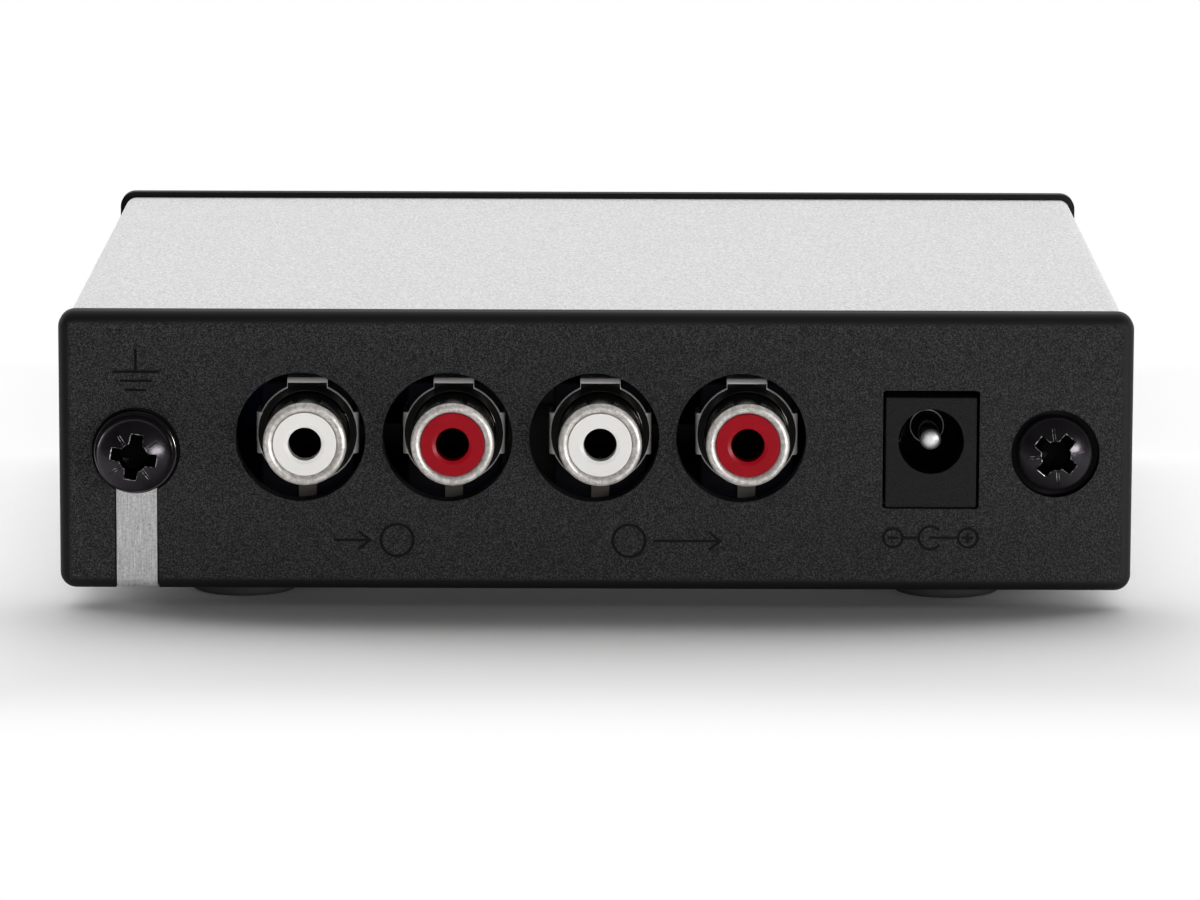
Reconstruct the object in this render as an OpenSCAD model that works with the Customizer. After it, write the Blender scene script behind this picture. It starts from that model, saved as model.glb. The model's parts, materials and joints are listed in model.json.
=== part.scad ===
// Phono preamp: an extruded aluminium sleeve closed by two moulded end panels.
// The rear end panel carries four phono jacks, a power jack, an earth terminal and a case
// screw. The front end panel carries a power light, a level knob and a data socket.
// Millimetres, +Z up. The jacks face -Y. The rubber feet stand on Z = 0.

/* [Case] */
// Width of the end panels, side to side
panel_w = 105.9; // [105:0.1:125]
// Height of the end panels
panel_h = 27.7; // [27:0.1:36]
// Length of the case over both end panels
case_l = 92; // [88:0.5:140]
// Thickness of an end panel
panel_t = 2.5; // [2.4:0.1:3.4]
// Radius of an end panel's four corners
panel_corner_r = 1.6; // [1.3:0.1:3]
// Radius of the soft edge round an end panel's outer face
panel_edge_r = 1.1; // [0.5:0.1:1.2]
// How far an end panel stands out past the sleeve, all round
panel_lip = 0.6; // [0.4:0.1:1]
// Wall of the sleeve
sleeve_wall = 1.6; // [1.2:0.1:2]
// Radius of the sleeve's outer corners
sleeve_corner_r = 1.2; // [0.8:0.1:1.6]
// Distance from the panel's side to the two ribs that locate it inside the sleeve
locating_rib_inset = 18; // [15:0.5:30]
// Thickness of a locating rib
locating_rib_t = 1.2; // [0.8:0.1:1.6]
// How far a locating rib reaches into the sleeve
locating_rib_reach = 2; // [1:0.1:3]
// Clearance between a locating rib and the sleeve
locating_clear = 0.15; // [0.05:0.05:0.3]

/* [Feet] */
// Height of the case's bottom edge above the ground
foot_h = 1.8; // [1.2:0.1:6]
// Diameter of a rubber foot
foot_d = 11; // [8:0.5:12]
// Distance of a foot's centre from the case's side
foot_side_inset = 17.75; // [17:0.05:30]
// Distance of a foot's centre from the end of the case
foot_inset = 11; // [9:0.5:20]
// Radius of the rounded lower edge of a foot
foot_edge_r = 0.6; // [0.2:0.1:1]

/* [Circuit board] */
// Height of the board's top above the case's bottom edge
board_top = 8.4; // [8:0.1:9]
// Thickness of the board
board_t = 1.6; // [1.2:0.1:2]
// Thickness of the sleeve's ribs that hold the board
board_rib_t = 1.2; // [0.8:0.1:1.2]
// How far those ribs stand in from the sleeve's side walls
board_rib_reach = 2; // [1.5:0.1:3]
// Play of the board between its ribs
board_play = 0.2; // [0.1:0.05:0.3]
// Distance from the board's edges to the sleeve and the end panels
board_edge_gap = 0.3; // [0.2:0.05:0.5]

/* [Case screws] */
// Distance of a screw from the end panel's side
screw_inset = 7.65; // [7.45:0.05:8.5]
// Height of a screw above the case's bottom edge
screw_z = 13.85; // [13.6:0.05:15]
// Thread diameter
screw_d = 4; // [3.5:0.1:4.2]
// Diameter of the head
screw_head_d = 8; // [7:0.1:8.2]
// Height of the straight part of the head
screw_head_side = 1.7; // [1.4:0.1:1.8]
// Height of the domed part of the head
screw_head_dome = 1.4; // [0.8:0.1:1.6]
// Length of the shank under the head
screw_l = 12; // [9:0.5:16]
// Length of the cross recess, wing tip to wing tip
recess_span = 4.7; // [4:0.1:5]
// Width of a wing of the cross recess
recess_wing = 1.3; // [1:0.1:1.4]
// Diameter of the middle of the cross recess
recess_core_d = 2.7; // [2:0.1:3]
// Depth of the cross recess under the top of the dome
recess_depth = 2.4; // [1.8:0.1:2.6]
// Diameter of the sunk seat for a head
screw_seat_d = 8.7; // [8.5:0.05:9.2]
// Depth of the sunk seat of a plain case screw
screw_seat_depth = 1.65; // [1:0.05:1.8]
// Clearance round a shank in an end panel, on the diameter
shank_clear = 0.4; // [0.2:0.1:0.6]
// Running fit of a thread in its boss, on the radius
thread_fit = 0.05; // [0.02:0.01:0.1]
// Wall of the sleeve's screw boss
boss_wall = 1.75; // [1.4:0.05:1.75]
// Thickness of the web that joins a boss to the side wall
boss_web_t = 2.4; // [1.6:0.1:3]

/* [Earth terminal] */
// Width of the earth strap
strap_w = 4; // [3.4:0.1:4.6]
// Thickness of the earth strap
strap_t = 0.5; // [0.3:0.1:0.6]
// Outer radius of the strap's bend under the case
strap_bend_r = 1; // [0.8:0.1:1.2]
// Diameter of the eye at the strap's top
strap_eye_d = 8; // [7.2:0.1:8.2]
// Length of the strap's tongue under the sleeve
strap_tongue = 6; // [4:0.5:10]
// Depth of the strap's groove under the panel's face
strap_groove_depth = 0.6; // [0.6:0.05:0.9]
// Clearance on each side of the strap in its groove
strap_groove_clear = 0.12; // [0.05:0.01:0.2]
// Outer diameter of the captive washer
washer_d = 7.7; // [7:0.1:8]
// Thickness of the captive washer
washer_t = 0.8; // [0.5:0.1:1.2]
// Clearance between washer and shank, on the diameter
washer_clear = 0.2; // [0.1:0.05:0.3]
// How far the earth screw is backed off at rest
earth_backed_off = 0.4; // [0.1:0.05:0.6]
// Axial play between the washer and the head
washer_play = 0.05; // [0.03:0.01:0.1]
// Angle of the earth screw's cross recess
earth_recess_turn = 80; // [0:1:89]
// Angle of the rear case screw's cross recess
case_recess_turn = 51; // [0:1:89]

/* [Phono jacks] */
// Place of the first jack, sideways from the case's middle
jack_first_x = -28.5; // [-29.5:0.1:-27.5]
// Distance between neighbouring jacks
jack_pitch = 14.47; // [13.8:0.01:14.6]
// Height of the jacks' axes above the case's bottom edge
jack_z = 15.3; // [15:0.1:16]
// Diameter of the panel's round holes
jack_hole_d = 12.8; // [12:0.1:13]
// How far the holes sit off the jacks' axes, sideways
jack_hole_offset = -0.58; // [-0.8:0.01:0.8]
// How far a jack stands out of the panel's face
jack_reach = 4.5; // [4.3:0.1:8]
// Outer diameter of a jack's barrel
barrel_d = 8.2; // [8:0.05:8.3]
// Wall of the barrel
barrel_wall = 0.4; // [0.3:0.05:0.5]
// Radius of the rolled rim at the barrel's mouth
barrel_rim_r = 0.475; // [0.4:0.005:0.55]
// Diameter of the base flange
flange_d = 10; // [9.4:0.1:10]
// Thickness of the shell's sheet metal at flange and tabs
flange_t = 0.4; // [0.3:0.05:0.5]
// Distance across the shell's folded side tabs
tab_span = 10.1; // [10:0.1:10.6]
// Height of a side tab
side_tab_h = 4.15; // [3:0.05:5]
// Width of the top tab
top_tab_w = 4; // [3:0.1:5]
// How far the tabs reach back over the housing
tab_reach = 4; // [2:0.1:6]
// Height of the top tab over the jack's axis
top_tab_z = 5.5; // [5.3:0.05:5.8]
// Width of the earth leg at the bottom
leg_w = 1.8; // [1.2:0.1:2.4]
// Depth of a jack's plastic housing
housing_l = 9.6; // [8:0.1:12]
// Clearance between the housing and what is folded round it
housing_clear = 0.05; // [0.03:0.01:0.1]
// Distance of the coloured ring's face behind the barrel's mouth
ring_recess = 0.15; // [0:0.05:0.5]
// Depth of the coloured ring's narrow front part
ring_step = 1; // [1:0.1:1.5]
// Diameter of the centre socket
socket_d = 3.25; // [3.2:0.01:3.4]
// Wall of the centre contact
contact_wall = 0.5; // [0.3:0.05:0.6]
// Depth of the centre contact's mouth behind the barrel's mouth
contact_recess = 1.8; // [1.6:0.1:3]
// Length of the centre contact
contact_l = 9; // [8.5:0.1:10]
// Thickness of the centre contact's closed end
contact_end = 0.6; // [0.4:0.1:1]

/* [Power jack] */
// Distance of the power jack's middle from the end panel's side
power_inset = 19.9; // [19:0.05:21]
// Width of the power jack
power_w = 9; // [8.8:0.1:9.2]
// Height of the power jack's face
power_h = 11; // [10.8:0.1:11.4]
// Depth of the wide front part of the power jack
power_front_l = 3.6; // [3:0.1:5]
// Height of the narrow rear part of the power jack
power_rear_h = 10.2; // [10:0.1:10.6]
// Length of the power jack
power_l = 14.2; // [14:0.1:16]
// Distance of its face behind the panel's face
power_recess = 0.15; // [0:0.05:0.5]
// Height of the bore over the board
power_bore_z = 6.6; // [6.5:0.05:6.7]
// Diameter of the bore
power_bore_d = 6.4; // [6.2:0.1:6.5]
// Depth of the bore
power_bore_l = 9.6; // [9:0.1:10]
// Diameter of the centre pin
power_pin_d = 2.1; // [2:0.05:2.5]
// Distance of the pin's tip behind the jack's face
power_pin_recess = 1; // [0.5:0.1:2]
// Diameter of the pin's shoulder at the bottom of the bore
power_shoulder_d = 3.4; // [3:0.1:3.8]
// Thickness of the pin's shoulder
power_shoulder_t = 0.3; // [0.2:0.05:0.5]
// Diameter of the pin's tail in the jack's back
power_tail_d = 1.6; // [1.2:0.1:1.8]
// Gap between the jack and the panel's cut-out at each side
power_gap_side = 0.26; // [0.15:0.01:0.4]
// Gap over the jack in the panel's cut-out
power_gap_top = 0.68; // [0.3:0.01:1]
// Gap under the jack in the panel's cut-out
power_gap_bottom = 0.1; // [0.05:0.05:0.3]
// Thickness of the spring contact's strip
spring_t = 0.3; // [0.2:0.05:0.35]
// Width of the spring contact's strip
spring_w = 2; // [1.5:0.1:2.4]
// How far the spring contact stands into the bore
spring_reach = 0.5; // [0.3:0.05:0.7]

/* [Level control] */
// Place of the level knob from the case's middle, seen from the front
level_x = 10; // [8:0.5:12]
// Height of the level knob over the board
level_z = 6; // [5.8:0.1:7]
// Diameter of the level knob
knob_d = 11; // [9:0.1:13]
// Length of the level knob
knob_l = 7.5; // [6.5:0.1:9]
// Gap between the knob and the panel
knob_gap = 0.6; // [0.4:0.1:1.5]
// Radius of the knob's rounded front edge
knob_edge_r = 0.8; // [0.4:0.1:1.2]
// Number of grip flutes round the knob
knob_flutes = 24; // [12:1:32]
// Diameter of a grip flute
flute_d = 0.8; // [0.5:0.1:1]
// Width of the knob's pointer line
pointer_w = 0.9; // [0.6:0.1:1.2]
// Length of the knob's pointer line
pointer_l = 3.6; // [2.5:0.1:4]
// Depth of the knob's pointer line
pointer_t = 0.4; // [0.3:0.1:0.6]
// Diameter of the shaft
shaft_d = 4; // [3.5:0.1:4.2]
// Depth of the flat on the shaft
shaft_flat = 0.8; // [0.5:0.1:1]
// Running fit of the shaft in its bushing, on the radius
shaft_fit = 0.05; // [0.02:0.01:0.08]
// Diameter of the bushing
bushing_d = 7; // [6.6:0.1:8]
// Clearance of the bushing in the panel, on the diameter
bushing_clear = 0.3; // [0.2:0.1:0.6]
// Width of the level control's body
level_body_w = 9.8; // [9:0.1:11]
// Depth of the level control's body
level_body_l = 6.8; // [6:0.1:9]

/* [Data socket and power light] */
// Distance of the data socket's middle from the end panel's side
data_inset = 23.95; // [23:0.05:26]
// Width of the data socket
data_w = 12; // [11.8:0.1:12.2]
// Height of the data socket
data_h = 10.9; // [10.7:0.1:11]
// Length of the data socket
data_l = 16; // [15:0.5:18]
// Sheet thickness of the data socket's shell
data_sheet = 0.4; // [0.3:0.05:0.5]
// Width of the data socket's mouth
data_mouth_w = 8.45; // [8.3:0.05:8.6]
// Height of the data socket's mouth
data_mouth_h = 7.8; // [7.6:0.05:8]
// Bevel of the mouth's upper corners
data_mouth_bevel = 1.6; // [1.2:0.1:1.8]
// Width of the tongue inside the mouth
data_tongue_w = 5.6; // [5.4:0.1:5.8]
// Height of the tongue inside the mouth
data_tongue_h = 3.2; // [3:0.1:3.4]
// Length of the tongue
data_tongue_l = 8.8; // [8:0.1:9.5]
// Gap round the data socket in the panel
data_gap = 0.3; // [0.2:0.05:0.5]
// Place of the power light from the case's middle, seen from the front
light_x = -18; // [-24:0.5:-12]
// Diameter of the power light
light_d = 3; // [2.8:0.1:3.2]
// How far the power light stands out of the panel
light_reach = 0.5; // [0.3:0.1:1.2]
// Height of the power light over the board
light_z = 5.6; // [5:0.1:6.5]

/* [Board components] */
// Diameter of an electrolytic capacitor
can_d = 8; // [6:0.1:8.5]
// Height of an electrolytic capacitor
can_h = 11.5; // [8:0.1:14]
// Length of a film capacitor
film_l = 7.2; // [6:0.1:7.5]
// Width of a film capacitor
film_w = 3.5; // [3:0.1:4.5]
// Height of a film capacitor
film_h = 8; // [6:0.1:10]
// Length of an amplifier chip
chip_l = 9.8; // [9:0.1:10.5]
// Width of an amplifier chip
chip_w = 6.4; // [6:0.1:6.8]
// Height of an amplifier chip over the board
chip_h = 3.8; // [3.4:0.1:4.2]
// Diameter of a resistor
resistor_d = 2.4; // [1.8:0.1:2.5]
// Length of a resistor's body
resistor_l = 6.2; // [5:0.1:6.5]
// Side of the square converter chip
converter_w = 10; // [8:0.1:12]
// Height of the converter chip over the board
converter_h = 1.5; // [1.2:0.1:2]
// Length of the clock crystal's can
crystal_l = 11; // [9:0.1:12]
// Width of the clock crystal's can
crystal_w = 4.6; // [4:0.1:5]
// Height of the clock crystal's can
crystal_h = 3.5; // [3:0.1:4]
// Width of the voltage regulator
regulator_w = 10; // [9:0.1:10.5]
// Height of the voltage regulator over the board
regulator_h = 11; // [10:0.1:12]

/* [Hidden] */
$fn = 64;
JACKS = [["input_left", "white"], ["input_right", "red"], ["output_left", "white"], ["output_right", "red"]];
JACK_PARTS = ["housing", "shell", "ring", "contact"];
CASE_NODES = ["sleeve", "rear_panel", "front_panel", "circuit_board", "rubber_feet"];
SCREW_NODES = ["earth_strap", "earth_washer", "earth_screw", "rear_case_screw", "front_case_screws"];
POWER_NODES = ["power_jack_body", "power_jack_pin", "power_jack_spring"];
FRONT_NODES = ["level_control_body", "level_shaft", "level_knob", "level_pointer",
    "data_socket_shell", "data_socket_insert", "power_light", "power_light_holder"];
BOARD_NODES = ["amplifier_chips", "electrolytic_capacitors", "film_capacitors", "resistors",
    "converter_chip", "clock_crystal", "voltage_regulator"];

// Far overlap of a cutter past the face that it cuts
through = 1;

// The case in the whole: the jacks set the back limit, the level knob the front one.
knob_reach = knob_gap + knob_l;
half_w = panel_w / 2;
rear_y = jack_reach - (jack_reach + case_l + knob_reach) / 2;
front_y = rear_y + case_l;
sleeve_l = case_l - 2 * panel_t;
sleeve_w = panel_w - 2 * panel_lip;
sleeve_top = panel_h - panel_lip;
cavity_w = sleeve_w - 2 * sleeve_wall;
cavity_bottom = panel_lip + sleeve_wall;
cavity_top = sleeve_top - sleeve_wall;
locating_rib_w = panel_w - 2 * locating_rib_inset;
foot_x = half_w - foot_side_inset;

// The board and what stands on it.
board_w = cavity_w - 2 * board_edge_gap;
board_bottom = board_top - board_t;
front_bare_edge = panel_t + board_edge_gap;
shell_front = -panel_t;                 // the jacks' flanges lie in the plane of the panel's inner face
housing_front = shell_front - flange_t;
rear_bare_edge = -housing_front + board_edge_gap;

// Screws, in depth from a panel's outer face.
screw_x = half_w - screw_inset;
shank_hole_d = screw_d + shank_clear;
thread_hole_r = screw_d / 2 + thread_fit;
boss_r = thread_hole_r + boss_wall;
dome_r = (pow(screw_head_d / 2, 2) + pow(screw_head_dome, 2)) / (2 * screw_head_dome);
strap_top = strap_t - strap_groove_depth;
washer_bottom = strap_top + earth_backed_off;
earth_head_bottom = washer_bottom + washer_t + washer_play;
groove_w = strap_w + 2 * strap_groove_clear;

// Phono jacks.
housing_w = tab_span - 2 * (flange_t + housing_clear);
housing_top = top_tab_z - flange_t - housing_clear;
housing_bottom = board_top - jack_z;
barrel_bore_r = barrel_d / 2 - barrel_wall;
rim_bore_r = barrel_d / 2 - 2 * barrel_rim_r;
contact_r = socket_d / 2 + contact_wall;
contact_front = jack_reach - contact_recess;
ring_front = jack_reach - ring_recess;
contact_pocket = contact_front - contact_l - housing_clear;

// Power jack: its spring contact lies in a window in the jack's side.
power_x = half_w - power_inset;
power_z = board_top + power_bore_z;
power_bore_bottom = -power_recess - power_bore_l;
spring_seat_gap = 0.3;
spring_root_depth = 1;
spring_root = power_bore_bottom - spring_root_depth;
spring_root_x = -power_bore_d / 2 - spring_t - spring_seat_gap;
spring_crest_x = -power_bore_d / 2 + spring_reach;
spring_crest = -power_recess - power_bore_l / 2;
spring_tip = -power_recess - power_bore_l / 4;
spring_tip_x = -power_bore_d / 2 - spring_t / 3;
window_h = spring_w + 2 * spring_seat_gap;
window_front = spring_tip + 2 * spring_seat_gap;
window_back = spring_root - spring_seat_gap;
window_inner_x = -power_shoulder_d / 2 - spring_seat_gap;

// Level control.
shaft_z = board_top + level_z;
bushing_sunk = 0.2;
bushing_front = -bushing_sunk;
level_body_gap = 0.4;
level_body_front = -panel_t - level_body_gap;
knob_front_wall = 1.4;
shaft_front = knob_reach - knob_front_wall;
grip_r = knob_d / 2;

// Places of the components on the board: sideways, and depth from the rear panel's face.
amplifier_places = [[-21, 30], [7.5, 30]];
can_pitch = 10;
can_depth = 44;
left_can_inset = 18.95;
right_can_inset = 16.95;
electrolytic_places = concat(
    [for (k = [0, 1]) [left_can_inset - half_w + can_pitch * k, can_depth]],
    [for (k = [0 : 2]) [half_w - right_can_inset - can_pitch * k, can_depth]]);
film_depth = 16;
film_places = [for (k = [0 : 3]) [jack_first_x + jack_pitch * k, film_depth]];
resistor_rows = [jack_first_x + jack_pitch, jack_first_x + 2 * jack_pitch];
resistor_first = 40;
resistor_pitch = 4;
resistors_in_row = 5;
converter_place = [-28, 62];
crystal_place = [-8, 66];
regulator_inset = 17.95;
regulator_place = [half_w - regulator_inset, 28];

// Data socket and power light.
data_x = half_w - data_inset;
data_z = board_top + data_h / 2;
light_axis_z = board_top + light_z;
light_rim_t = 1;
light_rim_gap = 0.1;
light_rim_d = light_d + 0.8;
light_hole_d = light_d + 0.2;
light_back = -panel_t - light_rim_gap - light_rim_t;

module on_rear(x, z) {
    translate([x, rear_y, foot_h + z]) rotate([90, 0, 0]) children();
}

module on_front(x, z) {
    translate([-x, front_y, foot_h + z]) rotate([90, 0, 180]) children();
}

// place: sideways from the case's middle, then depth from the rear panel's outer face
module on_board(place) {
    translate([place[0], rear_y + place[1], foot_h + board_top]) children();
}

// ---- end panels and sleeve ----

// Half of the section through an end panel's edge: x outwards, y towards the outer face.
module panel_edge_section() {
    square([panel_corner_r, panel_t - panel_edge_r]);
    square([panel_corner_r - panel_edge_r, panel_t]);
    translate([panel_corner_r - panel_edge_r, panel_t - panel_edge_r]) intersection() {
        circle(panel_edge_r);
        square(panel_edge_r);
    }
}

// The bare plate, its outer face at z = 0 and its bottom edge at y = 0.
module end_plate() {
    flat_w = panel_w - 2 * panel_corner_r;
    flat_h = panel_h - 2 * panel_corner_r;
    translate([-flat_w / 2, panel_corner_r, -panel_t]) cube([flat_w, flat_h, panel_t]);
    for (side = [-1, 1]) {
        translate([side * flat_w / 2, panel_h / 2, -panel_t]) rotate([0, 0, 90 - side * 90])
            translate([0, flat_h / 2, 0]) rotate([90, 0, 0])
                linear_extrude(flat_h) panel_edge_section();
        translate([0, panel_h / 2 + side * flat_h / 2, -panel_t]) rotate([0, 0, side * 90])
            translate([0, flat_w / 2, 0]) rotate([90, 0, 0])
                linear_extrude(flat_w) panel_edge_section();
        for (end = [-1, 1])
            translate([side * flat_w / 2, panel_h / 2 + end * flat_h / 2, -panel_t])
                rotate_extrude() panel_edge_section();
    }
    for (y = [cavity_bottom + locating_clear, cavity_top - locating_clear - locating_rib_t])
        translate([-locating_rib_w / 2, y, -panel_t - locating_rib_reach])
            cube([locating_rib_w, locating_rib_t, locating_rib_reach + panel_t / 2]);
}

module screw_hole(seat_depth) {
    translate([0, 0, -panel_t - through]) cylinder(d = shank_hole_d, h = panel_t + 2 * through);
    translate([0, 0, -seat_depth]) cylinder(d = screw_seat_d, h = seat_depth + through);
}

module rear_panel() {
    color([0.16, 0.16, 0.17]) on_rear(0, 0) difference() {
        end_plate();
        for (i = [0 : len(JACKS) - 1])
            translate([jack_first_x + i * jack_pitch + jack_hole_offset, jack_z, -panel_t - through])
                cylinder(d = jack_hole_d, h = panel_t + 2 * through);
        translate([power_x - power_w / 2 - power_gap_side, board_top - power_gap_bottom, -panel_t - through])
            cube([power_w + 2 * power_gap_side, power_h + power_gap_bottom + power_gap_top,
                panel_t + 2 * through]);
        translate([screw_x, screw_z, 0]) screw_hole(screw_seat_depth);
        translate([-screw_x, screw_z, 0]) screw_hole(strap_groove_depth);
        // the strap's groove, which turns under the panel's bottom edge
        translate([-screw_x - groove_w / 2, -through, -strap_groove_depth])
            cube([groove_w, screw_z + through, strap_groove_depth + through]);
        translate([-screw_x - groove_w / 2, -through, -panel_t - through])
            cube([groove_w, panel_lip + through, panel_t + 2 * through]);
        translate([-screw_x - groove_w / 2, panel_lip, -strap_groove_depth]) rotate([0, 90, 0])
            cylinder(r = strap_bend_r - strap_t, h = groove_w);
    }
}

module front_panel() {
    color([0.16, 0.16, 0.17]) on_front(0, 0) difference() {
        end_plate();
        for (side = [-1, 1])
            translate([side * screw_x, screw_z, 0]) screw_hole(screw_seat_depth);
        translate([level_x, shaft_z, -panel_t - through])
            cylinder(d = bushing_d + bushing_clear, h = panel_t + 2 * through);
        translate([light_x, light_axis_z, -panel_t - through])
            cylinder(d = light_hole_d, h = panel_t + 2 * through);
        translate([data_x - data_w / 2 - data_gap, board_top - data_gap, -panel_t - through])
            cube([data_w + 2 * data_gap, data_h + 2 * data_gap, panel_t + 2 * through]);
    }
}

module rounded_rectangle(x, y, w, h, r) {
    translate([x + r, y]) square([w - 2 * r, h]);
    translate([x, y + r]) square([w, h - 2 * r]);
    for (cx = [x + r, x + w - r], cy = [y + r, y + h - r])
        translate([cx, cy]) circle(r);
}

module sleeve_section() {
    difference() {
        rounded_rectangle(-sleeve_w / 2, panel_lip, sleeve_w, sleeve_top - panel_lip, sleeve_corner_r);
        translate([-cavity_w / 2, cavity_bottom]) square([cavity_w, cavity_top - cavity_bottom]);
    }
    difference() {
        for (side = [-1, 1]) {
            translate([side * screw_x, screw_z]) circle(boss_r);
            translate([side * (screw_x + cavity_w / 2 + sleeve_wall / 2) / 2, screw_z])
                square([cavity_w / 2 + sleeve_wall / 2 - screw_x, boss_web_t], center = true);
        }
        for (side = [-1, 1])
            translate([side * screw_x, screw_z]) circle(thread_hole_r);
    }
    for (side = [-1, 1], y = [board_bottom - board_rib_t, board_top + board_play])
        translate([side * (cavity_w / 2 - board_rib_reach / 2 + sleeve_wall / 4), y + board_rib_t / 2])
            square([board_rib_reach + sleeve_wall / 2, board_rib_t], center = true);
}

module sleeve() {
    color([0.87, 0.87, 0.86]) on_rear(0, 0)
        translate([0, 0, -panel_t - sleeve_l]) linear_extrude(sleeve_l) sleeve_section();
}

module circuit_board() {
    board_l = case_l - rear_bare_edge - front_bare_edge;
    color([0.08, 0.3, 0.16]) translate([-board_w / 2, rear_y + rear_bare_edge, foot_h + board_bottom])
        cube([board_w, board_l, board_t]);
}

module rubber_foot() {
    foot_r = foot_d / 2;
    top = foot_h + panel_lip;
    rotate_extrude() {
        square([foot_r - foot_edge_r, top]);
        translate([0, foot_edge_r]) square([foot_r, top - foot_edge_r]);
        translate([foot_r - foot_edge_r, foot_edge_r]) intersection() {
            circle(foot_edge_r);
            translate([0, -foot_edge_r]) square(foot_edge_r);
        }
    }
}

module rubber_feet() {
    color([0.09, 0.09, 0.09])
        for (side = [-1, 1], y = [rear_y + foot_inset, front_y - foot_inset])
            translate([side * foot_x, y, 0]) rubber_foot();
}

// ---- screws and earth terminal ----

// The underside of the head is at z = 0.
module pan_head_screw(recess_turn) {
    top = screw_head_side + screw_head_dome;
    difference() {
        union() {
            cylinder(d = screw_head_d, h = screw_head_side);
            translate([0, 0, screw_head_side]) intersection() {
                translate([0, 0, screw_head_dome - dome_r]) sphere(dome_r);
                cylinder(d = screw_head_d, h = screw_head_dome + through);
            }
        }
        rotate([0, 0, recess_turn]) {
            for (turn = [0, 90])
                rotate([0, 0, turn]) translate([-recess_span / 2, -recess_wing / 2, top - recess_depth])
                    cube([recess_span, recess_wing, recess_depth + through]);
            translate([0, 0, top - recess_depth]) cylinder(d = recess_core_d, h = recess_depth + through);
        }
    }
    translate([0, 0, -screw_l]) cylinder(d = screw_d, h = screw_l);
}

module earth_screw() {
    color([0.1, 0.1, 0.1]) on_rear(-screw_x, screw_z)
        translate([0, 0, earth_head_bottom]) pan_head_screw(earth_recess_turn);
}

module earth_washer() {
    color([0.75, 0.75, 0.73]) on_rear(-screw_x, screw_z) translate([0, 0, washer_bottom]) difference() {
        cylinder(d = washer_d, h = washer_t);
        translate([0, 0, -through]) cylinder(d = screw_d + washer_clear, h = washer_t + 2 * through);
    }
}

module rear_case_screw() {
    color([0.1, 0.1, 0.1]) on_rear(screw_x, screw_z)
        translate([0, 0, -screw_seat_depth]) pan_head_screw(case_recess_turn);
}

module front_case_screws() {
    color([0.1, 0.1, 0.1])
        for (side = [-1, 1])
            on_front(side * screw_x, screw_z)
                translate([0, 0, -screw_seat_depth]) pan_head_screw(side * case_recess_turn);
}

// The strap's side view: x is the depth behind the panel's face, y the height.
module strap_side_view() {
    face = -strap_top;
    under = panel_lip - strap_t;
    bend = strap_bend_r;
    translate([face, under + bend]) square([strap_t, screw_z - under - bend]);
    translate([face + bend, under]) square([panel_t - face - bend + strap_tongue, strap_t]);
    translate([face + bend, under + bend]) intersection() {
        difference() {
            circle(bend);
            circle(bend - strap_t);
        }
        translate([-bend, -bend]) square(bend);
    }
}

module earth_strap() {
    color([0.76, 0.76, 0.75]) on_rear(-screw_x, 0) difference() {
        union() {
            translate([-strap_w / 2, 0, 0]) rotate([0, 90, 0])
                linear_extrude(strap_w) strap_side_view();
            translate([0, screw_z, strap_top - strap_t]) cylinder(d = strap_eye_d, h = strap_t);
        }
        translate([0, screw_z, strap_top - strap_t - through])
            cylinder(d = shank_hole_d, h = strap_t + 2 * through);
    }
}

// ---- phono jacks ----

module jack_housing() {
    color([0.07, 0.07, 0.07]) difference() {
        translate([-housing_w / 2, housing_bottom, housing_front - housing_l])
            cube([housing_w, housing_top - housing_bottom, housing_l]);
        translate([0, 0, contact_pocket]) cylinder(r = contact_r + housing_clear, h = -contact_pocket);
    }
}

module jack_shell() {
    barrel_l = jack_reach - barrel_rim_r - housing_front;
    color([0.74, 0.73, 0.7]) difference() {
        union() {
            translate([0, 0, housing_front]) cylinder(d = barrel_d, h = barrel_l);
            translate([0, 0, housing_front]) cylinder(d = flange_d, h = flange_t);
            translate([0, 0, jack_reach - barrel_rim_r]) rotate_extrude()
                translate([barrel_d / 2 - barrel_rim_r, 0]) circle(barrel_rim_r);
            for (side = [-1, 1]) {
                translate([side * (tab_span / 2 - flange_t / 2), 0, shell_front - tab_reach / 2])
                    cube([flange_t, side_tab_h, tab_reach], center = true);
                translate([side * (flange_d + tab_span) / 4, 0, shell_front - flange_t / 2])
                    cube([flange_d / 2, side_tab_h, flange_t], center = true);
            }
            translate([-top_tab_w / 2, top_tab_z - flange_t, shell_front - tab_reach])
                cube([top_tab_w, flange_t, tab_reach]);
            translate([-top_tab_w / 2, flange_d / 4, housing_front])
                cube([top_tab_w, top_tab_z - flange_d / 4, flange_t]);
            translate([-leg_w / 2, housing_bottom, housing_front])
                cube([leg_w, -housing_bottom - flange_d / 4, flange_t]);
        }
        translate([0, 0, housing_front - through])
            cylinder(r = barrel_bore_r, h = barrel_l + through);
        translate([0, 0, housing_front + barrel_l - through])
            cylinder(r = rim_bore_r, h = barrel_rim_r + 2 * through);
        // trims the side tabs' roots flush with the tabs' outer faces
        for (side = [-1, 1])
            translate([side * (tab_span / 2 + flange_d / 2), 0, shell_front])
                cube([flange_d, flange_d, 2 * tab_reach + through], center = true);
    }
}

module jack_ring(ring_colour) {
    neck_r = rim_bore_r - housing_clear;
    body_r = barrel_bore_r - housing_clear;
    shoulder = jack_reach - 2 * barrel_rim_r - housing_clear;
    color(ring_colour) difference() {
        union() {
            translate([0, 0, housing_front]) cylinder(r = body_r, h = shoulder - housing_front);
            translate([0, 0, shoulder - ring_step / 2]) cylinder(r = neck_r, h = ring_front - shoulder + ring_step / 2);
        }
        translate([0, 0, housing_front - through])
            cylinder(d = socket_d, h = ring_front - housing_front + 2 * through);
        translate([0, 0, housing_front - through])
            cylinder(r = contact_r + housing_clear, h = contact_front - housing_front + through);
    }
}

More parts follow.
